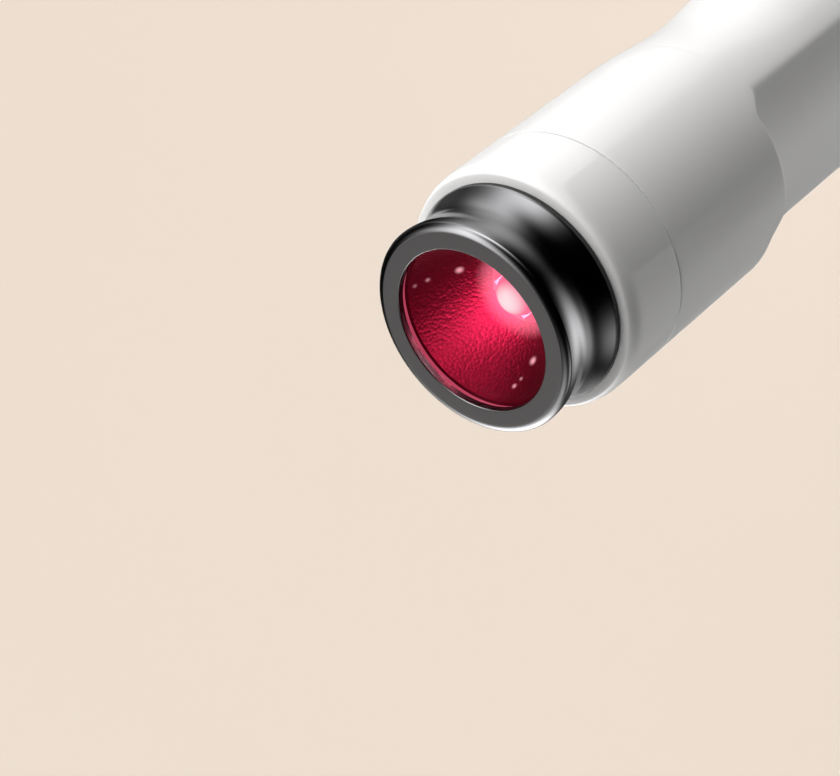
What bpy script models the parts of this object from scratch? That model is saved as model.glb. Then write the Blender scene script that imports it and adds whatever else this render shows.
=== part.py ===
"""A hand-held red light torch, modelled standing on its tail cap.

Metres. +Z runs along the torch towards the light, +Y to its round back, where the button is, and
+X to one of its two shaved flanks. The origin is the centre of the tail cap's flat end.
"""

import math

import bmesh
import bpy
from mathutils import Vector

MM = 0.001

# Clearances that every piece shares
SEAT = 0.3 * MM
SQUEEZE = 0.2 * MM
OVERRUN = 2.0 * MM
WELD = 0.001 * MM
DRAFT = 0.3 * MM

# Facets of a full turn
FACETS = 40
INNER_FACETS = 24
SMALL_FACETS = 12
SEAL_SIDES = 6

# The cell that the torch is built round, and the walls between it and the flank
CELL_RADIUS = 9.2 * MM
CELL_LENGTH = 65.0 * MM
TRAY_WALL = 0.735 * MM
HOUSING_WALL = 1.8 * MM

# Nose bezel, a spool with a threaded skirt behind it
LIP_STEP = 2.39 * MM
LIP_ROUND_WIDTH = 1.4 * MM
LIP_ROUND_LENGTH = 0.8 * MM
LIP_BAND = 0.9 * MM
FLANGE_WIDTH = 1.95 * MM
OPENING_CHAMFER = 0.2 * MM
FLANGE_THICKNESS = 0.8 * MM
LIP_SLOPE = 2.0 * MM
WAIST_WALL = 0.9 * MM
WAIST_BAND = 1.4 * MM
NECK_LENGTH = 9.65 * MM
FLARE_STEP = 1.75 * MM
FLARE_BAND = 0.35 * MM
SKIRT_LENGTH = 11.15 * MM
BEZEL_WALL = 1.0 * MM
SLOPE_POINTS = 4

# Window, its seal and the reflector
LENS_THICKNESS = 1.0 * MM
LENS_SEAL_WIDTH = 0.9 * MM
LENS_SEAL_THICKNESS = 0.8 * MM
MOUTH_STEP = 0.1 * MM
REFLECTOR_DEPTH = 8.6 * MM
REFLECTOR_WALL = 0.8 * MM
REFLECTOR_RIM = 0.55 * MM
REFLECTOR_FLANGE = 0.8 * MM
BOWL_POINTS = 7

# Light source
DOME_POINTS = 4
EMITTER_SIDE = 6.0 * MM
EMITTER_THICKNESS = 0.9 * MM
LED_BOARD_THICKNESS = 1.6 * MM
PAD_THICKNESS = 0.5 * MM
PAD_INSET = 0.9 * MM
LED_SCREW_INSET = 3.5 * MM
LED_SCREW_RADIUS = 1.0 * MM
LED_SCREW_HEAD_RADIUS = 1.7 * MM
LED_SCREW_HEAD = 0.9 * MM
SCREW_SOCKET_RADIUS = 0.6 * MM
SCREW_SOCKET_DEPTH = 0.45 * MM
WIRE_NOTCH_WIDTH = 7.2 * MM
WIRE_NOTCH_DEPTH = 3.5 * MM

# Heat sink, a turned slug with ring fins
SINK_PLATE = 2.5 * MM
SINK_HUB_RADIUS = 5.0 * MM
FIN_INSET = 0.4 * MM
FIN_THICKNESS = 1.2 * MM
FIN_GAP = 1.46 * MM
FIN_COUNT = 5

# Head collar
NECK_SEAM = 0.75 * MM
NECK_SEAL_INSET = 0.05 * MM
COLLAR_WALL = 0.95 * MM
COLLAR_LENGTH = 10.7 * MM
COLLAR_ROUND_WIDTH = 0.75 * MM
COLLAR_ROUND_LENGTH = 2.2 * MM
COLLAR_ROUND_POINTS = 4
COLLAR_WEB = 2.6 * MM
SEAM_CHAMFER = 0.15 * MM
PARTING_GAP = 0.25 * MM

# Housing front
SPIGOT_WALL = 1.3 * MM
COLLAR_GROOVE_BACK = 3.5 * MM
COLLAR_GROOVE_WIDTH = 1.3 * MM
COLLAR_GROOVE_DEPTH = 0.75 * MM

# Shoulder, where the flanks are cut back behind the head
SHOULDER_BACK = 46.8 * MM
SHOULDER_CORNER_DROP = 2.0 * MM
SHOULDER_UNDER_LIFT = 2.5 * MM
SHOULDER_CORNER_SWEEP = math.radians(12)
SHOULDER_UNDER_FROM = math.radians(50)
SHOULDER_UNDER_SWEEP = math.radians(15)
SHOULDER_EDGE = 0.4 * MM

# Grip section: a round back, two flanks below a crease, and a narrow round keel
CREASE_ANGLE = math.radians(-5.8)
FLANK_FIRST_SLOPE = math.radians(25)
FLANK_LAST_SLOPE = math.radians(52)
KEEL_RISE = 2.7 * MM
BACK_FACETS = 24
FLANK_FACETS = 8
KEEL_FACETS = 4

# Grip along its length
WAIST_BACK = 60.3 * MM
WAIST_SPAN = 17.0 * MM
WAIST_DEPTH = 0.95 * MM
SWELL_BACK = 92.8 * MM
SWELL_SPAN = 45.0 * MM
SWELL_HEIGHT = 0.8 * MM
GRIP_RING_AFTER_SHOULDER = 3.5 * MM
GRIP_RINGS = 12
TAIL_ROUND_LENGTH = 7.7 * MM
TAIL_BLEND_SPAN = 26.0 * MM
BACK_WALL = 2.2 * MM

# Tail cap and its thread
CAP_STEP = 1.15 * MM
CAP_LENGTH = 10.0 * MM
CAP_FLOOR = 2.5 * MM
CAP_END_ROUND = 1.5 * MM
CAP_FACETS = 48
FLUTE_COUNT = 12
FLUTE_DEPTH = 0.6 * MM
FLUTE_FROM = 2.6 * MM
FLUTE_TO = 7.6 * MM
FLUTE_RUNOUT = 0.9 * MM
SLEEVE_LENGTH = 6.3 * MM
SLEEVE_CHAMFER = 0.4 * MM
SLEEVE_WALL = 0.9 * MM
THREAD_DEPTH = 0.6 * MM
THREAD_PITCH = 2.0 * MM
THREAD_GAP = 0.3 * MM
THREAD_RING_COUNT = 3
CAP_GROOVE_INSET = 2.4 * MM
CAP_GROOVE_WIDTH = 1.4 * MM
CAP_GROOVE_DEPTH = 0.9 * MM

# Charging port
FRAME_OVER_CELL = 0.8 * MM
FRAME_WALL = 1.2 * MM
FRAME_END_WALL = 1.8 * MM
FRAME_FLANGE = 1.5 * MM
FRAME_CAP_GAP = 3.2 * MM
USB_WIDTH = 8.94 * MM
USB_HEIGHT = 3.16 * MM
USB_LENGTH = 7.3 * MM
USB_SHELL = 0.3 * MM
USB_SLOT_GAP = 0.35 * MM
TONGUE_WIDTH = 6.7 * MM
TONGUE_THICKNESS = 0.7 * MM
TONGUE_SETBACK = 1.4 * MM
PORT_BOARD_THICKNESS = 1.2 * MM

# Chassis, cell and its contacts
CHASSIS_END_WALL = 1.8 * MM
CHASSIS_BULKHEAD = 3.0 * MM
CHASSIS_OVER_CELL = 0.8 * MM
CHASSIS_FRONT_BAY = 31.5 * MM
RAIL_HOLD = 0.9 * MM
CELL_EDGE = 0.6 * MM
TERMINAL_RADIUS = 3.1 * MM
TERMINAL_HEIGHT = 1.3 * MM
CONTACT_THICKNESS = 0.4 * MM
CONTACT_WIDTH = 11.0 * MM
CONTACT_TAB_WIDTH = 2.6 * MM
SPRING_HEIGHT = 3.2 * MM
SPRING_WIRE = 0.35 * MM
SPRING_FOOT_RADIUS = 4.8 * MM
SPRING_TIP_RADIUS = 2.8 * MM
SPRING_TURN_COUNT = 3
SPRING_POINTS_EACH_TURN = 9

# Control board and what stands on it
BOARD_THICKNESS = 0.8 * MM
BOARD_CORNER_GAP = 0.45 * MM
BOARD_BEHIND_CHARGER = 4.5 * MM
BOARD_PAST_SCREWS = 12.2 * MM
BOARD_SCREW_INSET = 2.8 * MM
BOARD_SCREW_RADIUS = 0.8 * MM
BOARD_SCREW_HEAD_RADIUS = 1.4 * MM
BOARD_SCREW_HEAD = 0.8 * MM
BOARD_SCREW_LENGTH = 4.2 * MM
INDUCTOR_SIDE = 5.0 * MM
INDUCTOR_HEIGHT = 1.7 * MM
INDUCTOR_BEHIND_LIGHT = 4.7 * MM
CHARGER_SIDE = 3.0 * MM
CHARGER_HEIGHT = 0.9 * MM
CHARGER_BEHIND_INDUCTOR = 3.0 * MM
CONTROLLER_SIDE = 4.0 * MM
CONTROLLER_HEIGHT = 0.9 * MM
CONTROLLER_AHEAD_OF_BUTTON = 10.0 * MM

# Button and switch
BUTTON_BEHIND_SCREWS = 18.8 * MM
BUTTON_RADIUS = 5.2 * MM
BUTTON_PROUD = 0.4 * MM
BUTTON_ROUND = 0.4 * MM
BUTTON_DISH = 0.25 * MM
BUTTON_FLANGE_GAP = 0.4 * MM
BUTTON_FLANGE = 0.7 * MM
BUTTON_STEM_RADIUS = 2.0 * MM
BUTTON_STEM_LENGTH = 0.65 * MM
RING_WIDTH = 0.8 * MM
RING_HEIGHT = 1.7 * MM
RING_PROUD = 0.3 * MM
LANDING_MARGIN = 2.4 * MM
LANDING_DEPTH = 1.1 * MM
SWITCH_SIDE = 6.0 * MM
SWITCH_HEIGHT = 1.3 * MM
SWITCH_WELL_DEPTH = 1.0 * MM
PLUNGER_RADIUS = 1.6 * MM
PLUNGER_LENGTH = 1.0 * MM
PLUNGER_PROUD = 0.6 * MM

# Charge light
PIPE_BEHIND_BUTTON = 13.0 * MM
PIPE_RADIUS = 1.0 * MM
PIPE_PROUD = 0.1 * MM
INDICATOR_SIDE = 1.6 * MM
INDICATOR_HEIGHT = 0.6 * MM

# Wires and ribbon
WIRE_RADIUS = 0.5 * MM
WIRE_SPREAD = 1.6 * MM
WIRE_OVER_NOTCH = 0.4 * MM
WIRE_DIP = 1.4 * MM
WIRE_RUN_POINTS = 12
RIBBON_INNER_EDGE = 1.0 * MM
RIBBON_WIDTH = 4.0 * MM
RIBBON_THICKNESS = 0.3 * MM
RIBBON_UNDER_TOP = 3.5 * MM
RIBBON_RISE = 4.2 * MM


def bump(share):
    """A smooth hill: 1 in its middle, where the share is 0, and 0 from a share of 1 outwards."""
    return (1 + math.cos(math.pi * share)) / 2 if abs(share) < 1 else 0.0


def back_change(back_from_front):
    """How far the grip's back stands out from the head: a shallow waist, then a swell for the palm."""
    waist = WAIST_DEPTH * bump((back_from_front - WAIST_BACK) / WAIST_SPAN)
    swell = SWELL_HEIGHT * bump((back_from_front - SWELL_BACK) / SWELL_SPAN)
    return swell - waist


# Places worked out from the tail upwards
sleeve_top = CAP_LENGTH + SLEEVE_LENGTH
housing_tail = CAP_LENGTH + SEAT
ledge_height = sleeve_top + SEAT
frame_flange_bottom = ledge_height + DRAFT + SEAT
frame_flange_top = frame_flange_bottom + FRAME_FLANGE
frame_nose = CAP_FLOOR + FRAME_CAP_GAP
usb_mouth = frame_nose + SEAT
usb_back = usb_mouth + USB_LENGTH
port_board_bottom = usb_back + SEAT
port_board_top = port_board_bottom + PORT_BOARD_THICKNESS
chassis_tail = frame_flange_top + SEAT
bay_tail = chassis_tail + CHASSIS_END_WALL
tail_contact_bottom = bay_tail + SEAT
tail_contact_top = tail_contact_bottom + CONTACT_THICKNESS
spring_foot = tail_contact_top + SEAT
cell_bottom = spring_foot + SPRING_HEIGHT + SEAT
cell_top = cell_bottom + CELL_LENGTH
front_contact_bottom = cell_top + SEAT
front_contact_top = front_contact_bottom + CONTACT_THICKNESS
bay_front = front_contact_top + SEAT
bulkhead_front = bay_front + CHASSIS_BULKHEAD
chassis_front = bulkhead_front + CHASSIS_FRONT_BAY
sink_bottom = chassis_front + SEAT
sink_plate_bottom = sink_bottom + FIN_COUNT * (FIN_THICKNESS + FIN_GAP)
sink_top = sink_plate_bottom + SINK_PLATE
pad_bottom = sink_top + SEAT
pad_top = pad_bottom + PAD_THICKNESS
led_board_bottom = pad_top + SEAT
led_board_top = led_board_bottom + LED_BOARD_THICKNESS
emitter_bottom = led_board_top + SEAT
emitter_top = emitter_bottom + EMITTER_THICKNESS
dome_base = emitter_top + SEAT
bowl_base = emitter_top
mouth_height = bowl_base + REFLECTOR_DEPTH
lens_bottom = mouth_height + SEAT
lens_top = lens_bottom + LENS_THICKNESS
flange_back = lens_top + SEAT
length = flange_back + FLANGE_THICKNESS

# Places worked out from the front face back
seal_top = mouth_height
seal_bottom = seal_top - LENS_SEAL_THICKNESS
ledge_top = seal_bottom - SEAT
ledge_bottom = ledge_top - REFLECTOR_FLANGE
neck_end = length - NECK_LENGTH
skirt_end = neck_end - SKIRT_LENGTH
collar_top = neck_end - NECK_SEAM
collar_web_bottom = collar_top - COLLAR_WEB
collar_bottom = collar_top - COLLAR_LENGTH
spigot_top = collar_web_bottom - SEAT
housing_front = collar_bottom - PARTING_GAP
groove_top = spigot_top - COLLAR_GROOVE_BACK
groove_bottom = groove_top - COLLAR_GROOVE_WIDTH
head_bore_end = length - SHOULDER_BACK + SHOULDER_UNDER_LIFT + HOUSING_WALL
grip_first_ring = SHOULDER_BACK + SHOULDER_CORNER_DROP + GRIP_RING_AFTER_SHOULDER
tail_blend_from = length - housing_tail - TAIL_ROUND_LENGTH - TAIL_BLEND_SPAN
board_screw_height = (bay_front + bulkhead_front) / 2
button_height = board_screw_height - BUTTON_BEHIND_SCREWS
button_back = length - button_height
pipe_height = button_height - PIPE_BEHIND_BUTTON
inductor_height = pipe_height - INDICATOR_SIDE / 2 - INDUCTOR_BEHIND_LIGHT - INDUCTOR_SIDE / 2
charger_height = inductor_height - INDUCTOR_SIDE / 2 - CHARGER_BEHIND_INDUCTOR - CHARGER_SIDE / 2
board_tail = charger_height - CHARGER_SIDE / 2 - BOARD_BEHIND_CHARGER
board_front = board_screw_height + BOARD_PAST_SCREWS

# Places worked out across the torch, from the cell to the back, under the button
chassis_top = CELL_RADIUS + CHASSIS_OVER_CELL
board_bottom = chassis_top + SEAT
board_top = board_bottom + BOARD_THICKNESS
on_board = board_top + SEAT
switch_top = on_board + SWITCH_HEIGHT
plunger_top = switch_top + PLUNGER_PROUD
plunger_bottom = plunger_top - PLUNGER_LENGTH
stem_bottom = plunger_top + SEAT
flange_bottom = stem_bottom + BUTTON_STEM_LENGTH
flange_top = flange_bottom + BUTTON_FLANGE
ring_bottom = flange_top + SEAT
ring_top = ring_bottom + RING_HEIGHT
landing_height = ring_top - RING_PROUD
head_radius = landing_height + LANDING_DEPTH - back_change(button_back)

# Radii of the head, from its skin inwards
collar_bore = head_radius - COLLAR_WALL
spigot_radius = collar_bore - SEAT
collar_hole = spigot_radius - SPIGOT_WALL
skirt_radius = collar_hole - SEAT
bezel_bore = skirt_radius - BEZEL_WALL
fitted_radius = bezel_bore - SEAT
lip_radius = head_radius - LIP_STEP
waist_radius = bezel_bore + WAIST_WALL
flare_radius = head_radius - FLARE_STEP
neck_seal_radius = flare_radius - NECK_SEAL_INSET
opening_radius = bezel_bore - FLANGE_WIDTH
mouth_radius = opening_radius - MOUTH_STEP
base_radius = math.hypot(EMITTER_SIDE, EMITTER_SIDE) / 2 + SEAT
groove_floor = spigot_radius - COLLAR_GROOVE_DEPTH
led_screw_reach = fitted_radius - LED_SCREW_INSET
notch_floor = fitted_radius - WIRE_NOTCH_DEPTH
wire_height = notch_floor + WIRE_OVER_NOTCH + WIRE_RADIUS

# The grip's section: its flat clears the cell and its tray, and its arc starts on the head's radius
flank_reach = CELL_RADIUS + SEAT + TRAY_WALL + SEAT + HOUSING_WALL
flank_gain = flank_reach - head_radius * math.cos(FLANK_LAST_SLOPE - CREASE_ANGLE)
flank_radius = flank_gain / (1 - math.cos(FLANK_LAST_SLOPE - FLANK_FIRST_SLOPE))
keel_reach = head_radius - KEEL_RISE
grip_bore_radius = head_radius - WAIST_DEPTH - BACK_WALL

# Radii and widths of what the grip holds, and of its tail
frame_radius = CELL_RADIUS + FRAME_OVER_CELL
frame_bore = frame_radius - FRAME_WALL
sleeve_bore = frame_radius + SEAT
thread_root = sleeve_bore + SLEEVE_WALL
cap_radius = head_radius - CAP_STEP
cap_groove_radius = cap_radius - CAP_GROOVE_INSET
board_half = math.sqrt((grip_bore_radius - BOARD_CORNER_GAP) ** 2 - board_top**2)
tray_half = board_half - RAIL_HOLD
board_screw_spread = board_half - BOARD_SCREW_INSET
ring_inner = BUTTON_RADIUS + SEAT
ring_outer = ring_inner + RING_WIDTH
button_hole = ring_outer + SEAT
ribbon_low = chassis_top - RIBBON_UNDER_TOP


def finish(name, colour, roughness, metallic=0.0):
    """A material with a Principled shader."""
    material = bpy.data.materials.new(name)
    material.use_nodes = True
    shader = material.node_tree.nodes["Principled BSDF"]
    shader.inputs["Base Color"].default_value = (*colour, 1.0)
    shader.inputs["Roughness"].default_value = roughness
    shader.inputs["Metallic"].default_value = metallic
    return material


def ramp(share):
    """A smooth climb from 0 to 1 as the share goes from 0 to 1."""
    return 1 - bump(max(0.0, min(1.0, share)))


def add_object(name, shape, material):
    """Turns a finished bmesh into a scene object, smooth but for its sharp edges."""
    bmesh.ops.recalc_face_normals(shape, faces=shape.faces)
    mesh = bpy.data.meshes.new(name)
    shape.to_mesh(mesh)
    shape.free()
    mesh.shade_smooth()
    mesh.set_sharp_from_angle(angle=math.radians(30))
    thing = bpy.data.objects.new(name, mesh)
    bpy.context.scene.collection.objects.link(thing)
    if material:
        mesh.materials.append(material)
    return thing


def turned(name, outline, material=None, facets=FACETS):
    """A closed outline of (radius, height) points, spun once round the Z axis.

    An outline that begins and ends on the axis is left open there.
    """
    shape = bmesh.new()
    points = [shape.verts.new((radius, 0, height)) for radius, height in outline]
    edges = [shape.edges.new(pair) for pair in zip(points, points[1:])]
    if outline[0][0] > 0 or outline[-1][0] > 0:
        edges.append(shape.edges.new((points[-1], points[0])))
    bmesh.ops.spin(
        shape,
        geom=points + edges,
        cent=(0, 0, 0),
        axis=(0, 0, 1),
        angle=math.tau,
        steps=facets,
        use_merge=True,
    )
    bmesh.ops.remove_doubles(shape, verts=shape.verts, dist=WELD)
    return add_object(name, shape, material)


def skinned(name, rings, material=None, joined=False):
    """Faces between rings of points, as many points in each.

    The last ring meets the first where the skin is joined, and otherwise both ends are closed.
    """
    shape = bmesh.new()
    loops = [[shape.verts.new(point) for point in ring] for ring in rings]
    if not joined:
        shape.faces.new(loops[0])
        shape.faces.new(loops[-1])
    starts = loops if joined else loops[1:]
    for index, loop in enumerate(starts):
        before = loops[index - 1] if joined else loops[index]
        for side in range(len(loop)):
            shape.faces.new((before[side - 1], before[side], loop[side], loop[side - 1]))
    return add_object(name, shape, material)


def prism(name, outline, low, high, material=None):
    """An outline of (x, y) points, carried from one height to another."""
    rings = [[(x, y, height) for x, y in outline] for height in (low, high)]
    return skinned(name, rings, material)


def block(name, low, high, material=None):
    """A box between two corners."""
    outline = [(low[0], low[1]), (high[0], low[1]), (high[0], high[1]), (low[0], high[1])]
    return prism(name, outline, low[2], high[2], material)


def chip(name, side, height, along, material):
    """A square package that stands on the control board, centred across it."""
    half = side / 2
    return block(name, (-half, on_board, along - half), (half, on_board + height, along + half), material)


def oblong(width, height, facets=6):
    """Outline of a slot with round ends, wide along X."""
    radius = height / 2
    centre = width / 2 - radius
    turns = [math.pi * step / facets - math.pi / 2 for step in range(facets + 1)]
    right = [(centre + radius * math.cos(turn), radius * math.sin(turn)) for turn in turns]
    return right + [(-x, -y) for x, y in right]


def cut(thing, cutter, operation="DIFFERENCE"):
    """Cuts one object with another, or joins them, and keeps the second as a hidden guide."""
    change = thing.modifiers.new(cutter.name, "BOOLEAN")
    change.operation = operation
    change.object = cutter
    change.solver = "EXACT"
    cutter.hide_render = True
    cutter.display_type = "WIRE"


def rod(name, radius, low, high, facets=SMALL_FACETS, material=None):
    """A plain round bar between two heights."""
    return turned(name, [(0, low), (radius, low), (radius, high), (0, high)], material, facets)


def point_to_back(thing, along, across=0.0):
    """Lays a turned object down so that its axis points to the torch's back, at a height along it."""
    thing.rotation_euler = (-math.pi / 2, 0, 0)
    thing.location = (across, 0, along)
    return thing


def place_at(thing, x, y):
    """Moves an upright turned object off the torch's axis."""
    thing.location = (x, y, 0)
    return thing


def tube(name, points, radius, material, sides=1):
    """A round wire through a list of points, closed at both ends."""
    curve = bpy.data.curves.new(name, "CURVE")
    curve.dimensions = "3D"
    curve.bevel_depth = radius
    curve.bevel_resolution = sides
    curve.use_fill_caps = True
    line = curve.splines.new("POLY")
    line.points.add(len(points) - 1)
    for spot, point in zip(line.points, points):
        spot.co = (*point, 1)
    curve.materials.append(material)
    thing = bpy.data.objects.new(name, curve)
    bpy.context.scene.collection.objects.link(thing)
    return thing


def circle_reach(centre, radius, way):
    """How far a ray from the axis travels before it leaves a circle."""
    along = centre.dot(way)
    return along + math.sqrt(along**2 - centre.length_squared + radius**2)


def slope_way(slope):
    """The outward direction of a skin whose slope is counted from +X down towards the keel."""
    return Vector((math.cos(slope), -math.sin(slope)))


def flank_centre():
    """Centre of the flank's arc, which starts at the crease on the head's own radius."""
    return head_radius * slope_way(CREASE_ANGLE) - flank_radius * slope_way(FLANK_FIRST_SLOPE)


def flank_distance():
    """Distance from the axis to the flat lower part of the flank."""
    return flank_centre().dot(slope_way(FLANK_LAST_SLOPE)) + flank_radius


def keel_radius():
    """Radius of the round keel that meets the flat of both flanks and reaches the keel's depth."""
    steepness = math.sin(FLANK_LAST_SLOPE)
    return (flank_distance() - keel_reach * steepness) / (1 - steepness)


def slope_of(point):
    """The angle of a point round the axis, from +X down towards the keel."""
    return math.atan2(-point.y, point.x)


def lower_reach(turn, inset):
    """Distance from the axis to the flank, its flat and the keel, drawn in by the inset."""
    way = slope_way(turn)
    last_way = slope_way(FLANK_LAST_SLOPE)
    keel_centre = Vector((0, keel_radius() - keel_reach))
    arc_end = flank_centre() + (flank_radius - inset) * last_way
    keel_start = keel_centre + (keel_radius() - inset) * last_way
    if turn <= slope_of(arc_end):
        return circle_reach(flank_centre(), flank_radius - inset, way)
    if turn <= slope_of(keel_start):
        return (flank_distance() - inset) / last_way.dot(way)
    return circle_reach(keel_centre, keel_radius() - inset, way)


def folded(angle):
    """An angle round the axis as the slope on the +X side: -90 degrees at the back, 90 at the keel."""
    return math.atan2(-math.sin(angle), abs(math.cos(angle)))


def grip_reach(angle, back, inset=0.0):
    """Distance from the axis to the grip's skin: the nearer of its round back and its flank."""
    turn = folded(angle)
    side = head_radius - inset
    round_back = 1 / math.hypot(math.cos(turn) / side, math.sin(turn) / back)
    if turn < CREASE_ANGLE - FLANK_FIRST_SLOPE:
        return round_back
    if turn < CREASE_ANGLE and inset == 0:
        return round_back
    return min(round_back, lower_reach(turn, inset))


def bore_reach(angle, clearance=0.0):
    """Distance from the axis to the grip's inner wall, less a clearance."""
    turn = folded(angle)
    inset = HOUSING_WALL + clearance
    back = grip_bore_radius - clearance
    if turn < CREASE_ANGLE - FLANK_FIRST_SLOPE:
        return back
    return min(back, lower_reach(turn, inset))


def back_radius(back_from_front):
    """Radius of the grip's back along its length."""
    return head_radius + back_change(back_from_front)


def grip_angles():
    """Angles of the section's corners, with one on each crease and one at each end of the keel."""
    crease = -CREASE_ANGLE
    last_way = slope_way(FLANK_LAST_SLOPE)
    keel_start = slope_of(Vector((0, keel_radius() - keel_reach)) + keel_radius() * last_way)
    back = [crease + (math.pi - 2 * crease) * step / BACK_FACETS for step in range(BACK_FACETS)]
    flank_sweep = keel_start + crease
    left = [math.pi - crease + flank_sweep * step / FLANK_FACETS for step in range(FLANK_FACETS)]
    keel_sweep = math.pi - 2 * keel_start
    keel = [math.pi + keel_start + keel_sweep * step / KEEL_FACETS for step in range(KEEL_FACETS)]
    right = [math.tau - keel_start + flank_sweep * step / FLANK_FACETS for step in range(FLANK_FACETS)]
    return back + left + keel + right


def ring_at(heights, reaches):
    """A ring of points round the axis, at the angles of the grip's section."""
    angles = grip_angles()
    return [
        (reach * math.cos(angle), reach * math.sin(angle), height)
        for angle, reach, height in zip(angles, reaches, heights)
    ]


def round_ring(radius, height):
    """A circle at one height, with the corners of the grip's section."""
    count = len(grip_angles())
    return ring_at([height] * count, [radius] * count)


def grip_ring(back_from_front):
    """The grip's outer section, which grows round towards the tail cap."""
    roundness = ramp((back_from_front - tail_blend_from) / TAIL_BLEND_SPAN)
    back = back_radius(back_from_front)
    reaches = []
    for angle in grip_angles():
        reach = grip_reach(angle, back)
        reaches.append(reach + (cap_radius - reach) * roundness)
    return ring_at([length - back_from_front] * len(reaches), reaches)


def shoulder_back(angle):
    """Distance of the shoulder's edge from the front face, round the torch."""
    turn = folded(angle)
    corner = 1 - ramp((turn - CREASE_ANGLE) / SHOULDER_CORNER_SWEEP)
    under = ramp((turn - SHOULDER_UNDER_FROM) / SHOULDER_UNDER_SWEEP)
    return SHOULDER_BACK + SHOULDER_CORNER_DROP * corner - SHOULDER_UNDER_LIFT * under


def shoulder_rings():
    """Three rings that make the shoulder: the head's last ring, its edge, and the step's foot."""
    angles = grip_angles()
    edges = [shoulder_back(angle) for angle in angles]
    grips = [grip_reach(angle, back_radius(edge)) for angle, edge in zip(angles, edges)]
    last = ring_at([length - edge + SHOULDER_EDGE for edge in edges], [head_radius] * len(edges))
    rounded = [max(grip, head_radius - SHOULDER_EDGE) for grip in grips]
    edge_ring = ring_at([length - edge for edge in edges], rounded)
    foot = ring_at([length - edge - DRAFT for edge in edges], grips)
    return [last, edge_ring, foot]


def thread_radius(angle, height):
    """Radius of the cap's outer thread: a right-handed ridge that climbs a pitch each turn."""
    phase = (height / THREAD_PITCH - angle / math.tau) % 1
    return thread_root + THREAD_DEPTH * (1 - abs(2 * phase - 1))


def thread_heights(low, high):
    """Heights of the rings that carry a thread."""
    step = THREAD_PITCH / THREAD_RING_COUNT
    count = max(1, round((high - low) / step))
    return [low + (high - low) * index / count for index in range(count + 1)]


def bore_rings():
    """The housing's inner wall, from its threaded tail to the grip's bore and the head's bore."""
    angles = grip_angles()
    rings = []
    for height in thread_heights(housing_tail, ledge_height):
        reaches = [thread_radius(angle, height) + THREAD_GAP for angle in angles]
        rings.append(ring_at([height] * len(angles), reaches))
    grip = [bore_reach(angle) for angle in angles]
    for height in (ledge_height + DRAFT, head_bore_end):
        rings.append(ring_at([height] * len(angles), grip))
    for height in (head_bore_end + DRAFT, spigot_top):
        rings.append(round_ring(collar_hole, height))
    return rings


def make_bezel(material):
    """The spool-shaped metal nose: lip, waist, flare and a plain skirt that stands for its thread."""
    lip_end = length - LIP_ROUND_LENGTH - LIP_BAND
    waist_start = lip_end - LIP_SLOPE
    waist_end = waist_start - WAIST_BAND
    flare_start = neck_end + FLARE_BAND
    outline = [(opening_radius, flange_back)]
    outline.append((opening_radius, length - OPENING_CHAMFER))
    outline.append((opening_radius + OPENING_CHAMFER, length))
    for step in range(SLOPE_POINTS):
        turn = math.pi / 2 * step / (SLOPE_POINTS - 1)
        radius = lip_radius - LIP_ROUND_WIDTH + LIP_ROUND_WIDTH * math.sin(turn)
        outline.append((radius, length - LIP_ROUND_LENGTH + LIP_ROUND_LENGTH * math.cos(turn)))
    for step in range(SLOPE_POINTS):
        share = step / (SLOPE_POINTS - 1)
        radius = lip_radius + (waist_radius - lip_radius) * ramp(share)
        outline.append((radius, lip_end + (waist_start - lip_end) * share))
    for step in range(SLOPE_POINTS):
        share = step / (SLOPE_POINTS - 1)
        radius = waist_radius + (flare_radius - waist_radius) * ramp(share)
        outline.append((radius, waist_end + (flare_start - waist_end) * share))
    outline += [(flare_radius, neck_end), (skirt_radius, neck_end), (skirt_radius, skirt_end)]
    outline += [(bezel_bore, skirt_end), (bezel_bore, flange_back)]
    return turned("nose_bezel", outline, material)


def make_window(glass, rubber):
    """The clear window and the flat ring that seals it."""
    rod("lens", fitted_radius, lens_bottom, lens_top, FACETS, glass)
    inner = fitted_radius - LENS_SEAL_WIDTH
    outline = [(inner, seal_bottom), (fitted_radius, seal_bottom)]
    outline += [(fitted_radius, seal_top), (inner, seal_top)]
    turned("lens_seal", outline, rubber, INNER_FACETS)


def make_reflector(material):
    """A paraboloid bowl, open at its base for the light source, with a ledge under the seal."""
    steepness = (mouth_radius**2 - base_radius**2) / REFLECTOR_DEPTH
    inner = []
    outer = []
    for step in range(BOWL_POINTS):
        drop = REFLECTOR_DEPTH * step / (BOWL_POINTS - 1)
        radius = math.sqrt(mouth_radius**2 - steepness * drop)
        inner.append((radius, mouth_height - drop))
        if mouth_height - drop < ledge_bottom:
            outer.append((radius + REFLECTOR_WALL, mouth_height - drop))
    rim = mouth_radius + REFLECTOR_RIM
    outline = inner + outer[::-1]
    outline += [(rim, ledge_bottom), (fitted_radius, ledge_bottom), (fitted_radius, ledge_top)]
    outline += [(rim, ledge_top), (rim, mouth_height)]
    return turned("reflector", outline, material)


def make_light_source(dome_material, package_material):
    """The emitter package and the silicone dome over it."""
    half = EMITTER_SIDE / 2
    block("led_emitter", (-half, -half, emitter_bottom), (half, half, emitter_top), package_material)
    outline = [(0, dome_base)]
    for step in range(DOME_POINTS):
        turn = math.pi / 2 * step / DOME_POINTS
        outline.append((half * math.cos(turn), dome_base + half * math.sin(turn)))
    outline.append((0, dome_base + half))
    turned("led_dome", outline, dome_material, INNER_FACETS)


def make_wire_notch(name):
    """A cutter for the notch that lets both wires past the light source's carriers."""
    half = WIRE_NOTCH_WIDTH / 2
    low = (-half, notch_floor, sink_bottom - OVERRUN)
    return block(name, low, (half, head_radius, led_board_top + OVERRUN))


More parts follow.
